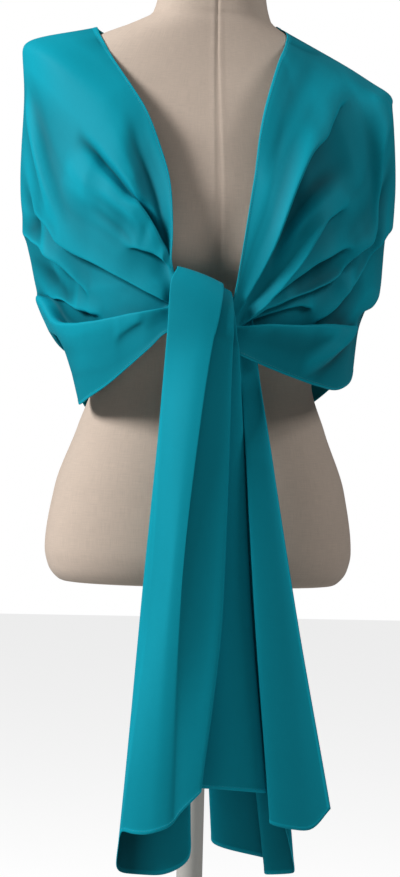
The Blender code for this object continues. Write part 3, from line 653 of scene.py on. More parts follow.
# ------------------------------------------------------------------ the dress form
@dataclass
class DressForm:
    """The limbless padded form: rings of a superellipse, with a bust, on a pole and base."""

    rings: Rows = (
        # height, half width, front depth, back depth
        (0.765, 0.156, 0.098, 0.114), (0.800, 0.165, 0.107, 0.124), (0.865, 0.156, 0.106, 0.114),
        (0.930, 0.133, 0.099, 0.093), (0.985, 0.117, 0.092, 0.079), (1.045, 0.124, 0.104, 0.084),
        (1.105, 0.138, 0.126, 0.095), (1.165, 0.146, 0.121, 0.105), (1.220, 0.156, 0.104, 0.108),
        (1.265, 0.170, 0.086, 0.102), (1.293, 0.172, 0.075, 0.094), (1.315, 0.159, 0.067, 0.087),
        (1.330, 0.141, 0.063, 0.082), (1.344, 0.117, 0.060, 0.077), (1.358, 0.087, 0.058, 0.072),
        (1.372, 0.0645, 0.056, 0.067), (1.385, 0.0600, 0.055, 0.062),
        (1.400, 0.0575, 0.054, 0.058), (1.430, 0.0555, 0.054, 0.054),
        (1.470, 0.0545, 0.053, 0.053),
    )
    power: float = 2.4
    bust_across: float = 0.074
    bust_height: float = 1.108
    bust_depth: float = 0.017
    bust_spread: tuple[float, float] = (0.044, 0.050)  # across and up
    shoulder_tilt: float = 0.060
    tilt_in: tuple[float, float] = (1.15, 1.33)  # heights between which it eases in
    tilt_out: tuple[float, float] = (1.37, 1.44)  # and out again
    bottom: float = 0.765
    bottom_roll: float = 0.016
    bottom_draw: float = 0.085  # how far its edge is drawn in, as a share
    neck_top: float = 1.470
    neck_radius: float = 0.0545
    cap_height: float = 0.014
    pole_radius: float = 0.014
    pole_gap: float = 0.0005  # between the pole and the form's hole
    collar_radius: float = 0.030
    pole_foot: float = 0.0345
    pole_inside: float = 0.060
    base_radius: float = 0.190
    parting: float = 0.0003
    columns: int = 216
    rows: int = 150
    rim_rows: int = 9
    # Seams and welts: in the middle, at the sides and at the neck's join.
    seam_sizes: Rows = ((0.0011, 0.0011), (0.0009, 0.0012), (0.0010, 0.0014))  # depth, width
    side_line: float = 0.004
    neck_line: tuple[float, float, float] = (1.374, 0.10, -0.02)  # height, and its slopes in y, x
    welt_height: float = 0.0004
    middle_welt: tuple[float, float] = (0.004, 0.0025)  # how far from the seam, width
    neck_welt: tuple[float, float] = (0.0045, 0.003)

    def drop(self, across: np.ndarray, height: np.ndarray) -> np.ndarray:
        """How far the tilt of the shoulders lowers a point: a slope that comes in and goes out."""
        share = ease(height, *self.tilt_in) - ease(height, *self.tilt_out)
        return self.shoulder_tilt * across * share

    def outside(self, points: np.ndarray) -> np.ndarray:
        """Above 0 outside the form: (|x/half|^p + |y/depth|^p)^(1/p) - 1, in about metres."""
        across, ahead = points[..., 0], points[..., 1]
        height = points[..., 2] + self.drop(across, points[..., 2])
        half, front, back = np.moveaxis(along_table(self.rings, height), -1, 0)
        bust = self.bust_depth * np.exp(
            -(((np.abs(across) - self.bust_across) / self.bust_spread[0]) ** 2)
            - ((height - self.bust_height) / self.bust_spread[1]) ** 2
        )
        depth = np.where(ahead < 0, front + bust, back)
        share = np.abs(across / half) ** self.power + np.abs(ahead / depth) ** self.power
        return (np.maximum(share, 1e-9) ** (1 / self.power) - 1) * (half + front + back) / 3

    def cleared(self, points: np.ndarray, gap: float, rounds: int = 5) -> np.ndarray:
        """Points moved straight out of the form until they are the gap from it.

        Args:
            points: Points on or near the form.
            gap: The least distance from its skin.
            rounds: How many Newton steps are taken.

        Returns:
            The moved points.
        """
        points = points.copy()
        flat = points.reshape(-1, 3)
        near = np.flatnonzero(self.outside(flat) < gap * 4)
        some = flat[near]
        step = 0.0005
        for _ in range(rounds):
            rise = [self.outside(some + s) - self.outside(some - s) for s in np.eye(3) * step]
            slopes = np.stack(rise, axis=-1) / (2 * step)
            steepness = np.linalg.norm(slopes, axis=-1, keepdims=True)
            short = np.maximum(gap - self.outside(some)[:, None] / steepness, 0)
            some = some + slopes / steepness * short
        flat[near] = some
        return points

    def skin(self, heights: np.ndarray, turns: np.ndarray) -> np.ndarray:
        """The skin's points, found by stepping out along each turn until outside() is 0."""
        first_guess, steps, pace = 0.05, 60, 0.9  # metres, rounds, share of the error taken back
        way = np.stack([np.sin(turns), -np.cos(turns), np.zeros(len(turns))], axis=-1)
        reach = np.full((len(heights), len(turns)), first_guess)
        for _ in range(steps):
            points = way[None] * reach[..., None]
            points[..., 2] += heights[:, None]
            points[..., 2] -= self.drop(points[..., 0], heights[:, None])
            reach -= self.outside(points) * pace
        return points

    def seams(self, skin: np.ndarray) -> np.ndarray:
        """How deep the cover's seams pull its skin in, less the low welts beside them.

        A seam or a welt is depth * exp(-(d / width)^2) for a distance d from its line.
        The lines are the middle, the sides and the neck's join, which is lower in front.
        """
        across, ahead, height = np.moveaxis(skin, -1, 0)
        neck, forward, sideways = self.neck_line
        middle, side = np.abs(across), np.abs(ahead - self.side_line)
        join = np.abs(height - (neck + forward * ahead + sideways * across))
        ways = zip((middle, side, join), self.seam_sizes)
        groove = sum(depth * bell(way, width) for way, (depth, width) in ways)
        welts = sum(
            bell(way - place, width)
            for way, (place, width) in ((middle, self.middle_welt), (join, self.neck_welt))
        )
        return groove - self.welt_height * welts

    def build_torso(self, material: Material) -> None:
        """The padded torso: its skin, rolled under at the bottom, with its sewn seams pulled in."""
        turns = np.linspace(-math.pi, math.pi, self.columns + 1)[:-1]
        roll = np.linspace(0, math.pi / 2, self.rim_rows)
        low = self.bottom + self.bottom_roll * (1 - np.cos(roll))
        heights = np.concatenate([low[:-1], np.linspace(low[-1], self.neck_top, self.rows)])
        skin = self.skin(np.maximum(heights, self.bottom + 0.004), turns)
        for row, share in enumerate(np.sin(roll)[:-1]):
            skin[row, :, :2] *= 1 - self.bottom_draw * (1 - share)
            skin[row, :, 2] = heights[row]
        skin = skin - unit(skin * [1, 1, 0]) * self.seams(skin)[..., None]
        inner = [(0.92, 0.0005), (0.6, 0.002), (0.25, 0.003)]  # share of the way out, rise
        under = [skin[0] * [share, share, 1] + [0, 0, up] for share, up in inner]
        hole = self.pole_radius + self.pole_gap
        rim = np.stack(
            [np.sin(turns) * hole, -np.cos(turns) * hole, np.full(len(turns), self.bottom + 0.003)],
            axis=-1,
        )
        top = [skin[-1] * [share, share, 1] for share in (0.97, 0.8, 0.4, 0.02)]
        points = np.stack([rim, *under[::-1], *skin, *top])
        rows, columns = points.shape[:2]
        faces = grid_faces(rows, columns, closed=True)[:, ::-1]
        girth = np.tile(np.linspace(0, 0.9, columns), (rows, 1))
        uv = np.stack([girth, np.repeat(points[:, :1, 2], columns, axis=1)], axis=-1)
        torso = mesh_object("linen_torso", points.reshape(-1, 3), faces, uv.reshape(-1, 2))
        settle(torso, material, Slot.TORSO)

    def build_cap(self, material: Material) -> None:
        """The turned cap on the neck, with a low dome and a rounded rim."""
        top = self.neck_top + self.parting
        neck = self.neck_radius + 0.0035
        crown = self.neck_top + self.parting + self.cap_height
        outline = [
            (0, top), (neck - 0.002, top), (neck, top + 0.002), (neck, top + 0.007),
            (neck - 0.004, top + 0.0105), (0.030, crown - 0.001), (0, crown),
        ]
        settle(turned_mesh("neck_cap", rounded(outline, 0.003), 128), material, Slot.CAP)

    def build_stand(self, material: Material) -> None:
        """The pole with its collar under the form, and the round base."""
        foot, pole = self.pole_foot, self.pole_radius
        wide, base = self.collar_radius, self.base_radius
        collar = self.bottom - self.parting
        top = self.bottom + self.pole_inside - self.parting
        outline = [
            (0, foot), (pole, foot), (pole, collar - 0.030), (wide - 0.008, collar - 0.026),
            (wide, collar - 0.008), (wide, collar), (pole, collar), (pole, top), (0, top),
        ]
        turned = turned_mesh("pole_with_collar", rounded(outline, 0.0012), 72)
        settle(turned, material, Slot.POLE)
        hub = foot - self.parting
        outline = [
            (0, 0), (base - 0.003, 0), (base, 0.003), (base, 0.009), (base - 0.003, 0.012),
            (0.060, 0.020), (0.040, 0.026), (0.032, hub - 0.002), (0.030, hub), (0, hub),
        ]
        settle(turned_mesh("round_base", rounded(outline, 0.0020), 160), material, Slot.BASE)


# ------------------------------------------------------------------ cloth
@dataclass(frozen=True)
class ClothCut:
    """The stole's cut, its wall, its rolled hem, the hem's stitches and the painted light and shade
    of its folds.
    """

    width: float = 0.50
    length: float = 2.25
    wall: float = 0.0006
    hem: float = 0.0036
    hem_ease: tuple[float, float] = (0.0006, 0.0004)  # inside and outside its line
    hem_wall: float = 0.0011
    rim_bulge: float = 0.8  # of half the wall
    stitch: float = 0.0030
    stitch_inset: float = 0.0029
    stitch_share: float = 0.80  # of a stitch's length, the rest is under the cloth
    stitch_dent: float = 0.00012
    stitch_dent_width: float = 0.0004
    thread: float = 0.00016
    # Painted light and shade for the folds: painted highlight on crests and painted shade in
    # hollows, at three widths.
    painted_fold_scales: Rows = (
        # width blurred, depth, share of the painted shading
        (0.0036, 0.0007, 0.20),
        (0.0130, 0.0050, 0.34),
        (0.0280, 0.0100, 0.34),
    )
    # Limits of the painted fold shading: its depth measure, then the colour factor.
    fold_clip: tuple[float, float] = (-1.0, 1.6)
    painted_shading_clip: tuple[float, float] = (0.40, 1.3)


@dataclass
class ClothSheet:
    """A draped sheet: the grid of its middle surface, as (along, across), and its flat places."""

    name: str
    middle: np.ndarray
    flat_along: np.ndarray
    flat_across: np.ndarray  # for each point of the grid
    cut: ClothCut
    hemmed: tuple[bool, bool, bool, bool]  # across 0, across 1, along 0, along 1

    def edge_distance(self) -> np.ndarray:
        """How far each point lies from the nearest hemmed edge, over the surface."""
        across, along = walked(self.middle, 1), walked(self.middle, 0)
        ways = (across, across[:, -1:] - across, along, along[-1:] - along)
        return np.minimum.reduce([way for way, hemmed in zip(ways, self.hemmed) if hemmed])

    def build(self) -> Thing:
        """The closed sheet: the middle surface moved half a wall each way, with a rounded rim.

        Within the hem the wall eases from one layer to the rolled three.
        """
        cut = self.cut
        rows, columns = self.middle.shape[:2]
        normals = grid_normals(self.middle)
        distance = self.edge_distance()
        rolled = 1 - ease(distance, cut.hem - cut.hem_ease[0], cut.hem + cut.hem_ease[1])
        half = (cut.wall + (cut.hem_wall - cut.wall) * rolled)[..., None] / 2
        dent = bell(distance - cut.stitch_inset, cut.stitch_dent_width)[..., None] * cut.stitch_dent
        outer = self.middle + normals * (half - dent)
        inner = self.middle - normals * (half - dent)
        border = rim_numbers(rows, columns)
        flat = self.middle.reshape(-1, 3)
        count = rows * columns
        along = np.roll(flat[border], -1, axis=0) - np.roll(flat[border], 1, axis=0)
        outwards = unit(np.cross(along, normals.reshape(-1, 3)[border]))
        away = flat[border] - flat[self.inner_neighbours(rows, columns)]
        sign = np.where(np.sum(outwards * away, axis=-1, keepdims=True) < 0, -1.0, 1.0)
        rim = flat[border] + outwards * sign * half.reshape(-1, 1)[border] * cut.rim_bulge
        points = np.concatenate([outer.reshape(-1, 3), inner.reshape(-1, 3), rim])
        here = 2 * count + np.arange(len(border))
        after, border_after = np.roll(here, -1), np.roll(border, -1)
        faces = [
            grid_faces(rows, columns),
            grid_faces(rows, columns, first=count)[:, ::-1],
            np.stack([border, border_after, after, here], axis=1),
            np.stack([here, after, count + border_after, count + border], axis=1),
        ]
        places = np.repeat(self.flat_along[:, None], columns, axis=1)
        uv = np.stack([places, self.flat_across], axis=-1).reshape(-1, 2)
        uv = np.concatenate([uv, uv, uv[border]])
        made = mesh_object(self.name, points, np.concatenate(faces), uv)
        # Painted shading for each side: a colour factor lighter on fold crests and darker in fold
        # hollows.
        front, back = (self.painted_fold_shading(normals * side).ravel() for side in (1, -1))
        values = np.concatenate([front, back, front[border]]).astype(np.float32)
        made.data.attributes.new("painted_fold_shading", "FLOAT", "POINT").data.foreach_set("value", values)
        return made

    def painted_fold_shading(self, normals: np.ndarray) -> np.ndarray:
        """Painted light and shade for the folds, multiplied into the cloth's colour: above 1 on
        crests, a painted highlight, and below 1 in hollows, painted shade.

        The surface is blurred across its folds at each of the cut's widths. How far
        the blurred one lies outside it, over that width's depth, times its share,
        is taken from 1.

        Args:
            normals: The face's own outward normals.

        Returns:
            A painted shading factor for each point of the grid.
        """
        step = np.linalg.norm(np.diff(self.middle, axis=1), axis=-1).mean()
        tone = np.ones(self.middle.shape[:2])
        for width, depth, share in self.cut.painted_fold_scales:
            beyond = softened(self.middle, width / step, 1) - self.middle
            deep = np.sum(beyond * normals, axis=-1) / depth
            tone -= share * np.clip(deep, *self.cut.fold_clip)
        return np.clip(tone, *self.cut.painted_shading_clip)

    @staticmethod
    def inner_neighbours(rows: int, columns: int) -> np.ndarray:
        """For each border vertex, the number of the grid vertex one step further in."""
        row, column = np.divmod(rim_numbers(rows, columns), columns)
        return np.clip(row, 1, rows - 2) * columns + np.clip(column, 1, columns - 2)

    def stitch_line(self, side: int) -> tuple[np.ndarray, np.ndarray]:
        """The line of the hem's stitches along one side, and the cloth's normals there.

        Args:
            side: 0 or 1 for the first or last place across, 2 or 3 for the first or last along.

        Returns:
            Points on the middle surface, and normals.
        """
        searched = 40  # steps in from the edge
        grid, normals = self.middle, grid_normals(self.middle)
        if side >= 2:
            grid, normals = np.swapaxes(grid, 0, 1), np.swapaxes(normals, 0, 1)
        if side % 2:
            grid, normals = grid[:, ::-1], normals[:, ::-1]
        reach = walked(grid[:, :searched], 1)
        steps = np.arange(searched)
        at = np.array([np.interp(self.cut.stitch_inset, row, steps) for row in reach])
        row, low = np.arange(len(grid)), at.astype(int)
        part = (at - low)[:, None]
        return grid[row, low] * (1 - part) + grid[row, low + 1] * part, normals[row, low]


def stitches(name: str, lines: Sequence[tuple[np.ndarray, np.ndarray]], cut: ClothCut) -> Thing:
    """Stitches along lines on the cloth, each a short arched thread.

    A stitch is a five-sided tube whose radius is r * sqrt(1 - s^2) and whose
    middle stands out by 1 - s^2, for s from -1 to 1 along it.

    Args:
        name: The object's name.
        lines: Points and normals along each hem.
        cut: The cloth, which has the stitches' sizes.

    Returns:
        One object that holds every stitch.
    """
    # How far ahead a stitch's way is read, how high it arches, and its ends' share of r^2.
    glance, arch, thinnest = 0.001, 0.00014, 0.05
    centres, along, out = [], [], []
    for line, normals in lines:
        reach = walked(line)
        marks = np.arange(cut.stitch, reach[-1] - cut.stitch, cut.stitch)
        place, ahead, normal = (
            np.stack([np.interp(at, reach, values[:, i]) for i in range(3)], axis=-1)
            for at, values in ((marks, line), (marks + glance, line), (marks, normals))
        )
        centres.append(place)
        along.append(unit(ahead - place))
        out.append(unit(normal))
    centres, along, out = (np.concatenate(part) for part in (centres, along, out))
    side = unit(np.cross(along, out))
    s = np.array([-1.0, -0.45, 0.45, 1.0])
    sides = 5
    angle = np.linspace(0, 2 * math.pi, sides, endpoint=False)
    radius = cut.thread * np.sqrt(np.maximum(1 - s**2, thinnest))
    lengthways = s * cut.stitch * cut.stitch_share / 2
    rise = cut.hem_wall / 2 - cut.stitch_dent + arch * (1 - s**2)
    ring_side = radius[:, None] * np.cos(angle)
    ring_out = radius[:, None] * np.sin(angle) + rise[:, None]
    points = (
        centres[:, None, None]
        + along[:, None, None] * lengthways[None, :, None, None]
        + side[:, None, None] * ring_side[None, :, :, None]
        + out[:, None, None] * ring_out[None, :, :, None]
    )
    tube = halved(grid_faces(len(s), sides, closed=True))
    caps = [[0, 1, 2], [0, 2, 3], [0, 3, 4], [17, 16, 15], [18, 17, 15], [19, 18, 15]]
    one = np.concatenate([tube, caps])
    first = len(s) * sides * np.arange(len(centres))
    return mesh_object(name, points.reshape(-1, 3), (one + first[:, None, None]).reshape(-1, 3))


@dataclass(frozen=True)
class Fold:
    """A fold that runs along the wrap.

    A row is (along, share of the width, height, roll, tuck) in FOLD_UNITS, with
    no tuck in a swell. The height is above 0 for a crest and below 0 for a valley.
    """

    name: str
    shape: Shape
    rows: Rows
    lean: Lean = Lean.TO_HEM

    def table(self) -> np.ndarray:
        """The rows as shares and metres, with a tuck of 0 where none is given."""
        return np.array([(*row, 0)[:5] for row in self.rows]) / FOLD_UNITS


@dataclass(frozen=True)
class Dent:
    """A soft hollow or swell: height * exp(-(u/long)^2 - (v/wide)^2), turned in the cloth's plane.

    The turn is 0 for a long axis along the wrap and 90 for one across it.
    """

    name: str
    along: float
    share: float
    turn: float
    long: float
    wide: float
    height: float


@dataclass
class Wrap:
    """The stretch of the stole that goes round the shoulders, from the knot to the knot."""

    form: DressForm
    cut: ClothCut
    folds: Sequence[Fold]
    dents: Sequence[Dent]
    columns: int = 641
    fine_rows: int = 700
    rows: int = 190
    first_seam: float = 0.34
    last_seam: float = 0.66
    flat_start: float = 0.59
    flat_lengths: Sequence[float] = (0.280, 0.535, 0.310)
    clearance: float = 0.0013
    crowd: tuple[float, float, float] = (0.012, 0.35, 2.6)  # what crowding() takes
    base_blur: tuple[float, float] = (5.0, 12.0)  # in steps of the fine grid, along and across
    fold_blur: tuple[float, float] = (1.6, 2.0)
    row_blur: tuple[float, float] = (6.0, 3.0)
    place_blur: float = 2.0
    width_rows: Sequence[float] = (0.0, 0.12, 0.25, 0.40, 0.55, 0.70, 0.85, 1.0)
    sections: Rows = (
        # along, turn, then (out, up) at each of the width rows
        (0, -9, (1630, 10600), (1630, 10560), (1630, 10510), (1630, 10460),
         (1630, 10410), (1630, 10370), (1630, 10320), (1630, 10280)),
        (45, -18, (1660, 10920), (1660, 10820), (1650, 10720), (1650, 10620),
         (1640, 10520), (1640, 10430), (1640, 10330), (1640, 10240)),
        (190, -50, (1310, 12950), (1540, 12620), (1680, 12150), (1760, 11600),
         (1702, 11050), (1660, 10600), (1673, 10120), (1570, 9620)),
        (340, -90, (1240, 13590), (2040, 13350), (2000, 12800), (2020, 12050),
         (1970, 11400), (1830, 10820), (1560, 10300), (1380, 9880)),
        (420, -135, (1000, 13520), (1500, 13300), (1680, 12780), (1730, 12050),
         (1720, 11300), (1660, 10600), (1600, 9950), (1560, 9300)),
        (500, -180, (830, 13380), (1080, 13050), (1240, 12500), (1310, 11800),
         (1340, 11050), (1340, 10300), (1360, 9500), (1410, 8720)),
        (580, -225, (880, 13540), (1400, 13300), (1630, 12750), (1700, 12000),
         (1700, 11280), (1650, 10600), (1600, 9980), (1570, 9400)),
        (660, -270, (700, 13700), (1670, 13180), (1990, 12890), (2030, 12050),
         (1940, 11400), (1850, 10850), (1690, 10450), (1630, 10000)),
        (810, -310, (930, 13220), (1360, 12800), (1590, 12200), (1722, 11600),
         (1698, 11050), (1700, 10600), (1620, 10150), (1580, 9750)),
        (960, -353, (1600, 10880), (1610, 10790), (1610, 10680), (1610, 10570),
         (1610, 10460), (1610, 10340), (1610, 10200), (1620, 10060)),
        (1000, -360, (1630, 10500), (1630, 10460), (1630, 10410), (1630, 10360),
         (1630, 10320), (1630, 10260), (1630, 10200), (1630, 10140)),
    )
    neckline: Rows = (
        # along, turn, out, up
        (0, -9, 1630, 10600), (30, -14.5, 1660, 10680), (40, -16.4, 1680, 10800),
        (47, -17.6, 1690, 10915), (70, -18, 1620, 11245), (110, -20, 1520, 11760),
        (150, -27, 1420, 12236), (178, -34, 1360, 12557), (205, -42, 1320, 12780),
        (250, -59, 1255, 13130), (300, -76, 1250, 13440), (340, -90, 1240, 13590),
        (420, -135, 1000, 13520), (500, -180, 830, 13380), (580, -225, 820, 13540),
        (660, -270, 700, 13680), (720, -298, 850, 13450), (790, -322, 1010, 13080),
        (835, -336, 1210, 12610), (880, -344, 1350, 12065), (915, -349, 1480, 11535),
        (945, -353, 1600, 11010), (957, -354.2, 1620, 10820), (967, -355.3, 1630, 10600),
        (980, -357, 1630, 10550), (1000, -360, 1630, 10500),
    )
    hem: Rows = (
        # along, turn, out, up
        (0, -9, 1630, 10280), (40, -18, 1690, 10270), (75, -24, 1700, 10110),
        (115, -32, 1660, 9930), (165, -44, 1605, 9710), (205, -54, 1560, 9600),
        (250, -66, 1480, 9520), (295, -82, 1340, 9660), (330, -98, 1370, 9880),
        (420, -135, 1560, 9400), (500, -180, 1410, 8800), (580, -225, 1570, 9450),
        (660, -270, 1630, 10000), (720, -288, 1600, 9830), (775, -305, 1580, 9740),
        (825, -319, 1590, 9780), (870, -332, 1590, 9860), (915, -344, 1610, 9960),
        (955, -353, 1660, 10050), (1000, -360, 1630, 10140),
    )

    def base(self, along: np.ndarray, across: np.ndarray) -> np.ndarray:
        """The wrap before its folds.

        The sections are carried along and across by smooth curves, and what the
        neckline's and the hem's own tables lack is added in with the cube of the
        share from the other edge. A point is (out sin turn, -out cos turn, up).

        Args:
            along: Shares of the wrap's length.
            across: Shares of its width.

        Returns:
            A grid of points, (along, across).
        """
        where = np.array([section[0] for section in self.sections]) / SHARE
        turns = np.array([section[1] for section in self.sections], float)
        table = np.array([section[2:] for section in self.sections]) / LENGTH
        rows = smooth_through(where, table, along)
        sheet = smooth_through(self.width_rows, np.moveaxis(rows, 1, 0), across)
        turn = np.repeat(smooth_through(where, turns, along)[:, None], len(across), axis=1)
        sheet = np.concatenate([turn[..., None], np.moveaxis(sheet, 1, 0)], axis=-1)
        for edge, end, share in ((self.neckline, 0, 1 - across), (self.hem, -1, across)):
            missing = along_table(np.array(edge) / EDGE_UNITS, along) - sheet[:, end]
            sheet = sheet + (share**3)[None, :, None] * missing[:, None, :]
        angle = np.radians(sheet[..., 0])
        out = sheet[..., 1]
        return np.stack([out * np.sin(angle), -out * np.cos(angle), sheet[..., 2]], axis=-1)

    def folded(self, sheet: np.ndarray, along: np.ndarray, across: np.ndarray) -> np.ndarray:
        """The sheet with every fold in it.

        A fold takes the cloth at distance d from its crest to the place that its
        profile gives for d / roll, and stands it out by height times the profile.
        A tuck takes the crest further over, and the cloth below it further under.

        Args:
            sheet: The wrap before its folds.
            along: Shares of its length.
            across: Shares of its width.

        Returns:
            The folded grid.
        """
        heart, full_height = (0, 0, 0.9), 0.005  # a point inside, and where a fold slides fully
        down = np.gradient(sheet, axis=1)
        width = np.linalg.norm(down, axis=-1)
        reached = np.cumsum(width, axis=1) - width[:, :1]
        down = unit(down)
        out = unit(np.cross(unit(np.gradient(sheet, axis=0)), down))
        out *= np.where(np.sum(out * (sheet - heart), axis=-1, keepdims=True) < 0, -1, 1)
        move_down = np.zeros_like(reached)
        move_out = np.zeros_like(reached)
        for fold in self.folds:
            profile = np.array(fold.shape.value)
            table = fold.table()
            share, height, roll, tuck = along_table(table, along).T
            height = height * (along >= table[0, 0]) * (along <= table[-1, 0])
            crest = np.array([np.interp(s, across, r) for s, r in zip(share, reached)])
            lean = fold.lean.value
            edge = along_table(profile, EDGES[fold.shape])
            edge = edge[0] + tuck * edge[2]
            local = lean * (reached - crest[:, None]) / roll[:, None] + edge[:, None]
            inside = (local > profile[0, 0]) & (local < profile[-1, 0])
            moved = along_table(profile, local)
            strength = np.clip(np.abs(height) / full_height, 0, 1)[:, None] * inside
            slide = moved[..., 0] - local + tuck[:, None] * moved[..., 2]
            move_down += lean * roll[:, None] * slide * strength
            move_out += height[:, None] * moved[..., 1] * inside
        length = walked(sheet[:, len(across) // 2])
        for dent in self.dents:
            turn = math.radians(dent.turn)
            column = int(round(dent.along * (len(along) - 1)))
            ahead = (length - length[column])[:, None]
            beside = reached - np.interp(dent.share, across, reached[column])
            long = (ahead * math.cos(turn) + beside * math.sin(turn)) / dent.long
            wide = (beside * math.cos(turn) - ahead * math.sin(turn)) / dent.wide
            move_out += dent.height * np.exp(-(long**2) - wide**2)
        return sheet + down * move_down[..., None] + out * move_out[..., None]

    def surface(self) -> tuple[np.ndarray, np.ndarray]:
        """The draped middle surface as (along, across), and the share across of each point."""
        along = np.linspace(0, 1, self.columns)
        across = np.linspace(0, 1, self.fine_rows)
        sheet = self.base(along, across)
        for axis in (0, 1):
            sheet = softened(sheet, self.base_blur[axis], axis)
        sheet = self.folded(sheet, along, across)
        for axis in (0, 1):
            sheet = softened(sheet, self.fold_blur[axis], axis)
        sheet = self.form.cleared(sheet, self.cut.wall / 2 + self.clearance)
        places = self.row_places(sheet)
        return resampled(sheet, places), places / (self.fine_rows - 1)

    def row_places(self, sheet: np.ndarray) -> np.ndarray:
        """Where the mesh's rows lie: closer together where the cloth bends, and at its hems.

        Rows are evenly spaced in the running total of the step, the bend and the
        nearness of a hem, which is blurred along the wrap so that rows run smoothly.

        Args:
            sheet: The folded grid.

        Returns:
            Fractional row numbers, (along, rows).
        """
        weight = crowding(*steps_and_bends(sheet), *self.crowd)
        weight = softened(softened(weight, self.row_blur[1], 1), self.row_blur[0], 0)
        total = np.insert(np.cumsum(weight, axis=1), 0, 0, axis=1)
        total /= total[:, -1:]
        wanted = np.linspace(0, 1, self.rows)
        numbers = np.arange(self.fine_rows)
        places = np.array([np.interp(wanted, row, numbers) for row in total])
        return softened(places, self.place_blur, 0)

    def sheets(self) -> list[tuple[ClothSheet, Slot]]:
        """The wrap's three stretches, with the solid that each stands for."""
        grid, across = self.surface()
        last = self.columns - 1
        seams = [0, *(int(round(seam * last)) for seam in (self.first_seam, self.last_seam)), last]
        names = ("chiffon_front_right", "chiffon_back", "chiffon_front_left")
        slots = (Slot.RIGHT, Slot.BACK, Slot.LEFT)
        made = []
        start = self.flat_start
        for name, slot, low, high, length in zip(names, slots, seams, seams[1:], self.flat_lengths):
            part = slice(low, high + 1)
            places = start + np.linspace(0, length, high + 1 - low)
            start += length
            flat_across = across[part] * self.cut.width
            hemmed = (True, True, False, False)
            made.append((ClothSheet(name, grid[part], places, flat_across, self.cut, hemmed), slot))
        return made


@dataclass
class Tail:
    """One of the stole's two ends, hanging in pleats from the knot.

    Each pleat row is: share across, x at the knot, upper, lower and hem levels, how far
    it lies back from the front plane at the same levels, and the height of its hem.
    """

    name: str
    slot: Slot
    cut: ClothCut
    pleats: Rows
    hang: Rows  # height, the front plane's y
    top: float
    flat_start: float
    flat_length: float
    levels: Sequence[float] = (1.059, 0.959, 0.759, 0.568)
    above: tuple[float, float] = (0.030, 0.30)  # how far past the levels x goes on, and
    below: tuple[float, float] = (0.108, 0.56)  # by how many of the last steps in x
    columns: int = 230
    rows: int = 165
    fine: int = 700
    roundness: float = 5.0  # how far folds are blurred, in steps of the fine grid
    crowd: tuple[float, float, float] = (0.010, 0.5, 3.0)  # what crowding() takes
    column_blur: float = 3.0

    def table(self) -> np.ndarray:
        """The pleats as shares and metres."""
        return np.array(self.pleats) / PLEAT_UNITS

    def across_at(self, shares: np.ndarray, heights: np.ndarray) -> tuple[np.ndarray, np.ndarray]:
        """x and depth of the pleats for shares across, with a height for each.

        Both run smoothly through the table's levels. Above and below them, x goes on
        along its last slope and the depth stays.

        Args:
            shares: Shares across the cloth.
            heights: A grid of heights, (rows, shares).

        Returns:
            x and the distance back from the front plane on the same grid.
        """
        rows = along_table(self.table(), shares)
        across, back = rows[:, :4], rows[:, 4:8]
        top = across[:, :1] + (across[:, :1] - across[:, 1:2]) * self.above[1]
        foot = across[:, 3:] + (across[:, 3:] - across[:, 2:3]) * self.below[1]
        across = np.concatenate([top, across, foot], axis=1)
        back = np.concatenate([back[:, :1], back, back[:, 3:]], axis=1)
        ends = self.levels[0] + self.above[0], self.levels[3] - self.below[0]
        levels = np.array((ends[0], *self.levels, ends[1]))[::-1]
        across, back = (
            np.stack([smooth_through(levels, c[::-1], h) for c, h in zip(part, heights.T)], axis=1)
            for part in (across, back)
        )
        return across, back

    def hanging(self, shares: np.ndarray) -> np.ndarray:
        """The part that hangs: from the top height down to each share's hem."""
        hem = along_table(self.table(), shares)[:, 8]
        down = np.linspace(0, 1, self.rows)[:, None]
        heights = self.top + (hem[None, :] - self.top) * down
        across, _ = self.across_at(shares, heights)
        heights = heights - self.fallen(across, heights)
        across, back = self.across_at(shares, heights)
        return np.stack([across, along_table(self.hang, heights)[..., 0] + back, heights], axis=-1)

    def fallen(self, across: np.ndarray, heights: np.ndarray) -> np.ndarray:
        """How far the cloth drops near the knot: not at all, unless the tail says so."""
        return np.zeros_like(across)

    def spread_out(self, fine: np.ndarray) -> tuple[np.ndarray, np.ndarray]:
        """The fine grid with its folds rounded and its columns spaced by how the cloth bends.

        Args:
            fine: Points, (down, across).

        Returns:
            The mesh's grid and the share across of each column.
        """
        fine = softened(fine, self.roundness, 1)
        step, bend = (values.mean(axis=0) for values in steps_and_bends(fine))
        weight = softened(crowding(step, bend, *self.crowd), self.column_blur, 0)
        total = np.insert(np.cumsum(weight), 0, 0)
        wanted = np.linspace(0, 1, self.columns)
        places = np.interp(wanted, total / total[-1], np.arange(fine.shape[1]))
        grid = resampled(fine, np.repeat(places[None], len(fine), axis=0))
        return grid, places / (fine.shape[1] - 1)

    def surface(self) -> tuple[np.ndarray, np.ndarray]:
        """The tail's middle surface as (down, across), and the share across of each column."""
        return self.spread_out(self.hanging(np.linspace(0, 1, self.fine)))

    def sheet(self) -> ClothSheet:
        """The tail as a sheet whose last row is its hem."""
        grid, shares = self.surface()
        along = self.flat_start + np.linspace(0, 1, len(grid)) * self.flat_length
        across = np.repeat(shares[None] * self.cut.width, len(grid), axis=0)
        return ClothSheet(self.name, grid, along, across, self.cut, (True, True, False, True))


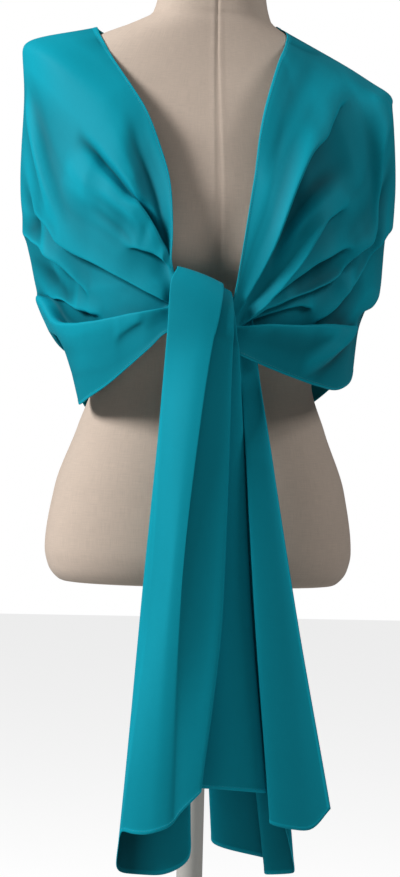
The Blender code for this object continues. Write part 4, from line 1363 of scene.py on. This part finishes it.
@dataclass
class OverTail(Tail):
    """The end that rises behind the knot, turns over its top and hangs in front."""

    roll: Rows = (
        # y, height
        (-0.1232, 1.0400), (-0.1232, 1.0570), (-0.1295, 1.0760), (-0.1440, 1.0900),
        (-0.1640, 1.0935),
        (-0.1780, 1.0850), (-0.1845, 1.0680), (-0.1860, 1.0480), (-0.1860, 1.0300),
    )
    roll_top: int = 4
    roll_rows: int = 46
    roll_blur: float = 2.5
    join_blur: float = 1.5
    top_narrowing: float = 0.13
    top_fall: float = 0.56
    top_left: float = -0.026
    fall_heights: tuple[float, float] = (0.99, 1.06)

    def fallen(self, across: np.ndarray, heights: np.ndarray) -> np.ndarray:
        """How far the cloth is sheared down near the knot, more towards +X."""
        return self.top_fall * (across - self.top_left) * ease(heights, *self.fall_heights)

    def surface(self) -> tuple[np.ndarray, np.ndarray]:
        """The roll over the knot, its layers stacked inwards, joined to the hanging part.

        The whole is then sheared down towards +X near the top, so the top edge falls.
        """
        shares = np.linspace(0, 1, self.fine)
        roll = np.array(self.roll)
        reach = walked(roll)
        curve = smooth_through(reach, roll, np.linspace(0, reach[-1], self.roll_rows))
        curve = softened(curve, self.roll_blur, 0)
        way = unit(np.gradient(curve, axis=0))
        out = np.stack([way[:, 1], -way[:, 0]], axis=-1)
        out[0], out[-1] = (1, 0), (-1, 0)
        front = np.arange(self.roll_rows) > np.argmax(curve[:, 1])
        level = np.where(front, curve[:, 1], curve[:, 1].max())
        heights = np.repeat(level[:, None], len(shares), axis=1)
        across, back = self.across_at(shares, heights)
        narrowing = ease(curve[:, 1:], self.levels[0], roll[self.roll_top, 1])
        across *= 1 - self.top_narrowing * narrowing
        turned = curve[:, None, :] - out[:, None, :] * back[..., None]
        lifted = turned[..., 1] - self.fallen(across, turned[..., 1])
        top = np.stack([across, turned[..., 0], lifted], axis=-1)
        fine = np.concatenate([top[:-1], self.hanging(shares)])
        return self.spread_out(softened(fine, self.join_blur, 0))


# ------------------------------------------------------------------ the stole's own tables
WRAP_FOLDS = (
    # (along, share of the width, height, roll, tuck) in FOLD_UNITS
    Fold("right neckline crease", Shape.SWELL, (
        (90, 147, 0, 22), (105, 170, -57, 22), (123, 196, -82, 26), (143, 243, -100, 31),
        (163, 257, -105, 35), (190, 264, -102, 40), (208, 258, -53, 44), (232, 257, 0, 50),
    )),
    Fold("right neckline ridge", Shape.ROLL, (
        (46, 20, 0, 20, 0), (55, 20, 0, 21, 8), (67, 77, 24, 25, 10), (80, 127, 21, 29, 10),
        (98, 172, 35, 34, 8), (115, 203, 40, 40, 4), (130, 221, 31, 46, 1),
        (150, 238, 0, 52, 0),
    ), Lean.TO_NECKLINE),
    Fold("right chest ridge", Shape.SWELL, (
        (110, 280, 0, 90), (135, 300, 90, 100), (165, 330, 108, 110), (200, 345, 66, 120),
        (240, 340, 0, 130),
    )),
    Fold("right neckline valley", Shape.SWELL, (
        (55, 75, 0, 40), (70, 85, -34, 50), (85, 100, -88, 70), (105, 108, -108, 90),
        (130, 110, -122, 105), (158, 108, -88, 115), (185, 85, -32, 125), (215, 70, 0, 130),
    )),
    Fold("right panel valley", Shape.SWELL, (
        (100, 245, 0, 70), (116, 290, -20, 80), (129, 319, -47, 95), (148, 343, -66, 110),
        (175, 349, -76, 120), (204, 340, 0, 125),
    )),
    Fold("right shoulder ridge", Shape.SWELL, (
        (190, 500, 0, 90), (223, 485, 22, 95), (250, 430, 66, 105), (280, 350, 102, 115),
        (300, 300, 79, 120), (325, 250, 0, 125),
    )),
    Fold("right upper swag", Shape.ROLL, (
        (45, 47, 0, 22, 0), (55, 128, 29, 23, 4), (71, 224, 66, 28, 8), (87, 295, 53, 36, 10),
        (106, 370, 47, 48, 8), (128, 430, 15, 62, 3), (147, 455, 0, 75, 0),
        (165, 469, 0, 85, 0),
    )),
    Fold("right middle swag", Shape.ROLL, (
        (45, 501, 21, 22, 0), (60, 519, 62, 25, 8), (92, 550, 65, 34, 11),
        (134, 566, 70, 48, 10), (187, 562, 85, 60, 8), (240, 544, 105, 70, 7),
        (260, 511, 90, 75, 6), (280, 502, 40, 85, 3), (307, 507, 10, 95, 0),
        (340, 457, 0, 120, 0), (420, 400, 12, 150, 0), (500, 370, 12, 160, 0),
        (570, 360, 0, 150, 0),
    )),
    Fold("right swag pocket", Shape.SWELL, (
        (262, 580, 0, 55), (280, 550, -56, 65), (300, 538, -58, 70), (330, 520, -14, 80),
        (370, 500, 0, 100),
    )),
    Fold("right elbow swag", Shape.ROLL, (
        (195, 695, 0, 60, 0), (212, 657, 50, 50, 0), (226, 635, 90, 46, 2),
        (248, 607, 140, 46, 6), (272, 590, 165, 48, 9), (292, 581, 140, 54, 6),
        (315, 569, 60, 70, 2), (345, 572, 10, 90, 0), (400, 555, 12, 130, 0),
        (460, 545, 0, 140, 0),
    )),
    Fold("right elbow pocket", Shape.SWELL, (
        (222, 690, 0, 90), (242, 680, -90, 100), (265, 672, -135, 115), (290, 660, -140, 120),
        (315, 645, -80, 120), (340, 635, -20, 120), (365, 617, 0, 120),
    )),
    Fold("right crescent top", Shape.ROLL, (
        (170, 746, 0, 24, 0), (189, 746, 30, 30, 3), (211, 739, 45, 40, 5),
        (235, 726, 60, 50, 6), (252, 719, 65, 58, 6), (272, 716, 60, 64, 5),
        (289, 716, 50, 70, 3), (306, 704, 35, 80, 1), (335, 681, 0, 100, 0),
    )),
    Fold("right lower swag", Shape.ROLL, (
        (42, 519, 20, 21, 0), (58, 622, 45, 24, 5), (83, 695, 60, 30, 8), (116, 739, 60, 38, 9),
        (147, 767, 80, 44, 9), (179, 777, 100, 48, 8), (201, 777, 115, 48, 8),
        (226, 772, 120, 50, 8), (246, 768, 120, 52, 7), (271, 760, 110, 56, 6),
        (290, 743, 95, 62, 4), (308, 728, 70, 70, 2), (330, 725, 30, 85, 0),
        (365, 716, 0, 100, 0),
    ), Lean.TO_NECKLINE),
    Fold("right elbow bag", Shape.ROLL, (
        (262, 830, 0, 80, 0), (280, 827, 15, 90, 0), (300, 830, 40, 100, 0),
        (330, 845, 80, 105, 2), (360, 866, 60, 110, 0), (410, 860, 30, 130, 0),
        (460, 850, 0, 140, 0),
    )),
    Fold("right hem swell", Shape.ROLL, (
        (46, 614, 0, 20, 0), (56, 706, 0, 22, 4), (69, 761, 0, 25, 6), (84, 802, 0, 30, 8),
        (98, 827, 10, 36, 8), (113, 845, 10, 44, 6), (128, 859, 10, 52, 3),
        (142, 870, 0, 60, 0), (160, 894, 0, 70, 0), (180, 914, 0, 80, 0),
    )),
    Fold("left lapel", Shape.ROLL, (
        (735, 137, 0, 120, 0), (765, 164, 33, 100, 0), (788, 187, 80, 75, 1),
        (806, 199, 110, 60, 4), (828, 192, 140, 50, 7), (853, 210, 150, 44, 9),
        (877, 245, 140, 40, 10), (898, 294, 95, 35, 10), (925, 357, 50, 30, 10),
        (943, 430, 25, 26, 8), (956, 493, 10, 22, 2), (970, 535, 0, 20, 0),
    )),
    Fold("left lapel valley", Shape.SWELL, (
        (775, 294, 0, 200), (806, 290, -80, 190), (830, 277, -105, 170), (851, 276, -105, 140),
        (870, 288, -85, 110), (891, 324, -45, 80), (912, 371, 0, 60),
    )),
    Fold("left lapel edge", Shape.SWELL, (
        (690, 0, 0, 200), (730, 0, 40, 200), (780, 0, 100, 190), (825, 0, 120, 160),
        (860, 0, 80, 120), (890, 0, 0, 100),
    )),
    Fold("left breast ridge", Shape.SWELL, (
        (795, 341, 0, 80), (815, 326, 30, 75), (840, 313, 40, 65), (862, 318, 35, 55),
        (884, 348, 20, 45), (905, 393, 0, 35), (927, 447, 0, 28),
    )),
    Fold("left breast swag", Shape.ROLL, (
        (790, 392, 0, 64, 0), (812, 385, 35, 56, 0), (830, 379, 70, 50, 2),
        (849, 404, 90, 43, 4), (867, 443, 80, 37, 5), (889, 485, 40, 30, 5),
        (908, 518, 15, 24, 3), (929, 565, 5, 20, 0), (945, 619, 0, 18, 0),
    )),
    Fold("left upper swag", Shape.ROLL, (
        (792, 499, 0, 54, 0), (813, 493, 60, 51, 2), (830, 490, 110, 46, 5),
        (850, 492, 140, 40, 8), (871, 511, 140, 35, 10), (889, 531, 115, 31, 11),
        (905, 546, 85, 26, 11), (918, 579, 55, 22, 10), (932, 611, 30, 19, 7),
        (948, 654, 8, 16, 0), (962, 701, 0, 15, 0),
    )),
    Fold("left swag pocket", Shape.SWELL, (
        (772, 510, 0, 80), (792, 535, -90, 85), (815, 548, -120, 85), (842, 555, -120, 75),
        (868, 560, -90, 60), (890, 570, 0, 50),
    )),
    Fold("left outer swag", Shape.ROLL, (
        (560, 350, 0, 108, 0), (610, 300, 15, 104, 0), (660, 240, 15, 94, 0),
        (700, 250, 30, 79, 0), (722, 283, 130, 68, 2), (738, 336, 160, 63, 4),
        (748, 404, 165, 60, 5), (755, 470, 165, 58, 6), (766, 508, 170, 56, 6),
        (785, 527, 175, 55, 7), (816, 591, 165, 49, 9), (847, 604, 140, 42, 10),
        (877, 607, 120, 33, 12), (912, 621, 90, 23, 11), (944, 669, 50, 17, 4),
        (960, 713, 0, 15, 0),
    )),
    Fold("left outer valley", Shape.SWELL, (
        (690, 360, 0, 100), (715, 390, -43, 105), (735, 450, -97, 100), (752, 545, -109, 90),
        (775, 590, -88, 80), (800, 620, 0, 70),
    )),
    Fold("left lower swag", Shape.ROLL, (
        (560, 500, 0, 112, 0), (620, 480, 20, 109, 0), (660, 490, 12, 97, 0),
        (700, 513, 70, 79, 0), (722, 515, 110, 69, 2), (740, 544, 140, 63, 4),
        (757, 596, 155, 58, 6), (777, 630, 160, 54, 8), (790, 641, 160, 51, 8),
        (803, 666, 150, 45, 8), (815, 696, 120, 37, 7), (830, 720, 80, 30, 4),
        (848, 741, 0, 23, 0),
    )),
    Fold("left lower pocket", Shape.SWELL, (
        (745, 640, 0, 80), (765, 675, -60, 90), (785, 705, -100, 90), (803, 725, -95, 80),
        (822, 742, -50, 60), (840, 750, 0, 50),
    )),
    Fold("left inner pleat", Shape.ROLL, (
        (846, 694, 0, 46, 0), (857, 685, 39, 42, 4), (870, 674, 38, 38, 8),
        (886, 674, 38, 33, 10), (905, 672, 52, 28, 10), (924, 678, 60, 24, 6),
        (945, 693, 0, 21, 0),
    )),
    Fold("left bottom panel", Shape.ROLL, (
        (735, 791, 0, 90, 0), (765, 766, 35, 80, 1), (790, 761, 57, 68, 3),
        (820, 757, 80, 56, 6), (845, 754, 100, 50, 8), (869, 753, 105, 44, 9),
        (884, 749, 90, 40, 10), (899, 742, 80, 36, 10), (914, 732, 65, 31, 10),
        (932, 728, 63, 26, 8), (951, 713, 40, 22, 2), (966, 673, 0, 20, 0),
    ), Lean.TO_NECKLINE),
    Fold("left hem facet", Shape.SWELL, (
        (745, 780, 0, 85), (772, 795, 70, 85), (795, 820, 124, 80), (815, 860, 128, 80),
        (835, 900, 81, 80), (858, 940, 0, 80),
    )),
    Fold("left elbow swag", Shape.ROLL, (
        (540, 690, 0, 150, 0), (600, 700, 30, 140, 0), (660, 715, 50, 120, 0),
        (710, 735, 50, 100, 0), (750, 750, 0, 90, 0),
    )),
    Fold("back lower swag", Shape.ROLL, (
        (400, 700, 0, 150, 0), (450, 690, 30, 150, 0), (520, 675, 40, 160, 0),
        (580, 640, 0, 150, 0),
    )),
)

WRAP_DENTS = (
    Dent("right arm hollow", 0.300, 0.505, turn=-45, long=0.030, wide=0.0160, height=-0.009),
)

# share, x: knot, upper, lower, hem, back: knot, upper, lower, hem, hem height, in PLEAT_UNITS
OVER_PLEATS = (
    (0, -227, -335, -535, -606, 138, 350, 410, 330, 536),
    (80, 24, -135, -254, -183, 138, 350, 410, 310, 524),
    (100, 24, -135, -254, -183, 121, 320, 375, 275, 502),
    (150, -229, -339, -488, -489, 121, 320, 375, 320, 479),
    (200, -485, -545, -690, -780, 119, 305, 375, 370, 480),
    (213, -524, -576, -720, -848, 113, 290, 350, 315, 484),
    (222, -530, -580, -724, -860, 108, 274, 325, 265, 492),
    (232, -528, -570, -680, -848, 105, 262, 290, 215, 500),
    (242, -532, -573, -654, -845, 100, 245, 245, 165, 513),
    (256, -517, -568, -646, -845, 95, 232, 232, 152, 524),
    (270, -491, -547, -630, -822, 86, 211, 211, 138, 527),
    (287, -440, -506, -601, -778, 70, 172, 172, 112, 526),
    (305, -378, -457, -565, -725, 53, 129, 129, 84, 525),
    (330, -286, -383, -512, -644, 31, 75, 75, 49, 525),
    (365, -153, -276, -450, -529, 9, 22, 26, 14, 528),
    (400, -20, -169, -354, -413, -4, 0, 4, 4, 533),
    (415, -60, -205, -358, -390, 24, 26, 6, 5, 535),
    (430, -60, -195, -345, -368, 36, 46, 15, 8, 537),
    (450, -20, -140, -270, -320, 34, 62, 36, 0, 545),
    (475, 50, -20, -110, -220, 30, 98, 66, -12, 556),
    (500, 114, 113, 86, -101, 34, 142, 95, -10, 569),
    (540, 100, 92, 62, -125, 54, 190, 210, 150, 571),
    (620, -334, -352, -430, -501, 58, 205, 235, 190, 572),
    (660, -352, -368, -446, -517, 75, 225, 262, 220, 571),
    (760, -41, -46, -3, 128, 75, 215, 245, 225, 568),
    (800, 45, 95, 180, 350, 74, 226, 262, 245, 566),
    (840, 137, 235, 388, 590, 72, 255, 305, 285, 564),
    (870, 125, 218, 365, 560, 88, 280, 335, 315, 570),
    (1000, -180, -191, -138, -7, 92, 285, 345, 325, 572),
)
UNDER_PLEATS = (
    (0, 310, 453, 800, 1188, -26, -36, -50, -55, 551),
    (60, 258, 374, 672, 926, -10, -12, -15, -15, 528),
    (110, 183, 245, 394, 583, 0, 2, 8, 12, 535),
    (130, 200, 265, 420, 615, 19, 28, 53, 64, 538),
    (210, 271, 434, 732, 1060, 19, 28, 53, 64, 545),
    (230, 263, 420, 708, 1036, 37, 55, 95, 114, 546),
    (310, 180, 277, 484, 698, 37, 55, 95, 114, 543),
    (330, 188, 288, 510, 735, 56, 80, 137, 164, 539),
    (350, 235, 366, 613, 818, 56, 80, 137, 150, 490),
    (370, 235, 366, 613, 818, 75, 107, 180, 190, 482),
    (440, 11, 79, 225, 490, 75, 107, 180, 245, 479),
    (460, 23, 95, 261, 517, 94, 134, 222, 285, 485),
    (530, 197, 290, 477, 703, 94, 134, 222, 250, 487),
    (550, 188, 275, 462, 678, 112, 160, 264, 290, 490),
    (650, -259, -206, -111, 32, 112, 160, 264, 390, 510),
    (670, -250, -195, -90, 50, 131, 187, 306, 430, 516),
    (800, 235, 350, 580, 820, 131, 187, 306, 350, 540),
    (820, 230, 340, 560, 790, 150, 213, 347, 400, 542),
    (920, -210, -140, 20, 200, 150, 213, 347, 470, 545),
    (940, -200, -130, 40, 220, 167, 237, 385, 500, 546),
    (1000, -53, 46, 254, 459, 167, 237, 385, 470, 548),
)

# height, the front plane's y
OVER_HANG = (
    (0.46, -0.188), (0.60, -0.190), (0.75, -0.190), (0.90, -0.190), (0.98, -0.188), (1.03, -0.186),
)
UNDER_HANG = (
    (0.46, -0.172), (0.60, -0.172), (0.75, -0.172), (0.90, -0.168), (1.00, -0.1505),
    (1.044, -0.1505),
)


@dataclass
class Stole:
    """The whole stole: its wrap, its two ends and the sewing of its hems."""

    form: DressForm
    cut: ClothCut = ClothCut()
    cloth: SatinChiffon = SatinChiffon()
    thread: SewingThread = SewingThread()

    def build(self, kit: ShaderKit) -> None:
        """Every piece of the stole, dressed and in place."""
        cut = self.cut
        material = self.cloth.material("satin chiffon", kit, (cut.width, cut.length))
        lines = []
        for sheet, slot in Wrap(self.form, cut, WRAP_FOLDS, WRAP_DENTS).sheets():
            piece = settle(sheet.build(), material, slot)
            lines += [sheet.stitch_line(side) for side in (0, 1)]
        over = OverTail(
            "chiffon_tail_over", Slot.OVER, cut, OVER_PLEATS, OVER_HANG,
            top=1.03, flat_start=0.59, flat_length=-0.59, columns=200,
        )
        under = Tail(
            "chiffon_tail_under", Slot.UNDER, cut, UNDER_PLEATS, UNDER_HANG,
            top=1.044, flat_start=1.715, flat_length=0.535,
        )
        for tail in (over, under):
            sheet = tail.sheet()
            piece = settle(sheet.build(), material, tail.slot)
            lines += [sheet.stitch_line(side) for side in (0, 1, 3)]
        sewn = stitches("hem_stitches", lines, cut)
        settle(sewn, self.thread.material("hem thread", kit))


# ------------------------------------------------------------------ the studio
@dataclass(frozen=True)
class StudioCamera:
    """The camera: turned a little to the form's right, level, and rolled slightly."""

    distance: float = 2.40
    scale: float = 0.00108  # metres for each pixel, at the form's axis
    yaw: float = -6.0
    roll: float = 1.5
    height: float = 0.92
    shift: float = -0.7  # pixels
    tall: int = 877
    sensor: float = 36.0
    far: float = 60.0

    def build(self) -> None:
        """The camera, looking square at the form's axis."""
        yaw, roll = math.radians(self.yaw), math.radians(self.roll)
        right = Vector((math.cos(yaw), math.sin(yaw), 0))
        ahead = Vector((-math.sin(yaw), math.cos(yaw), 0))
        up = Vector((0, 0, 1))
        side = right * math.cos(roll) + up * math.sin(roll)
        top = up * math.cos(roll) - right * math.sin(roll)
        target = Vector((self.shift * self.scale / math.cos(yaw), 0, self.height))
        lens = bpy.data.cameras.new("studio camera")
        lens.sensor_width = self.sensor
        lens.lens = self.distance / self.scale / self.tall * self.sensor
        lens.clip_end = self.far
        camera = bpy.data.objects.new("studio camera", lens)
        turn = Matrix(list(zip(side, top, -ahead))).to_4x4()
        camera.matrix_world = Matrix.Translation(target - ahead * self.distance) @ turn
        bpy.context.scene.collection.objects.link(camera)
        bpy.context.scene.camera = camera


@dataclass(frozen=True)
class SoftLight:
    """A square studio light, at a turn and a rise from the point that it aims at."""

    name: str
    turn: float
    rise: float
    distance: float
    size: float
    power: float
    aim: tuple[float, float, float] = (0.0, 0.0, 1.0)

    def build(self) -> None:
        """The light, turned to its aim."""
        lamp = bpy.data.lights.new(self.name, "AREA")
        lamp.shape = "SQUARE"
        lamp.size = self.size
        lamp.energy = self.power
        light = bpy.data.objects.new(self.name, lamp)
        turn, rise = math.radians(self.turn), math.radians(self.rise)
        level = math.cos(rise)
        out = Vector((level * math.sin(turn), -level * math.cos(turn), math.sin(rise)))
        facing = (-out).to_track_quat("-Z", "Y").to_matrix().to_4x4()
        light.matrix_world = Matrix.Translation(Vector(self.aim) + out * self.distance) @ facing
        bpy.context.scene.collection.objects.link(light)


@dataclass(frozen=True)
class Studio:
    """A pale floor, a pale surround, the camera and the lights."""

    lights: Sequence[SoftLight] = (
        SoftLight("window", turn=-72, rise=31, distance=3.2, size=0.9, power=98),
        SoftLight("skylight", turn=62, rise=42, distance=3.4, size=1.2, power=29),
    )
    surround: float = 0.08  # how bright it lights the scene
    backdrop: float = 1.0  # how bright the camera sees it
    floor: PaleFloor = PaleFloor()
    floor_half: float = 9.0

    def build(self, kit: ShaderKit) -> None:
        """The view's tone curve, the camera, every lamp, the surround's light and the floor."""
        bpy.context.scene.view_settings.view_transform = "Standard"
        StudioCamera().build()
        for light in self.lights:
            light.build()
        world = bpy.data.worlds.new("pale surround")
        world.use_nodes = True
        bpy.context.scene.world = world
        tree = world.node_tree
        tree.nodes.clear()
        dim, pale = (
            node(tree, "Background", Color=(1, 1, 1, 1), Strength=strength).outputs[0]
            for strength in (self.surround, self.backdrop)
        )
        seen = node(tree, "LightPath").outputs["Is Camera Ray"]
        node(tree, "OutputWorld", Surface=node(tree, "MixShader", seen, dim, pale).outputs[0])
        half = self.floor_half
        corners = [(-half, -half, 0), (half, -half, 0), (half, half, 0), (-half, half, 0)]
        floor = mesh_object("pale_floor", np.array(corners), np.array([[0, 1, 2, 3]]), smooth=False)
        floor.data.materials.append(self.floor.material("pale floor", kit))


def main() -> None:
    """Builds the form, its stand, the stole and the studio."""
    logging.basicConfig(level=logging.INFO, format="%(name)s %(message)s")
    kit = ShaderKit()
    form = DressForm()
    form.build_torso(LinenCover().material("linen cover", kit))
    steel = PaintedSteel().material("painted steel", kit)
    form.build_cap(steel)
    form.build_stand(steel)
    Stole(form).build(kit)
    Studio().build(kit)


if __name__ == "__main__":
    main()
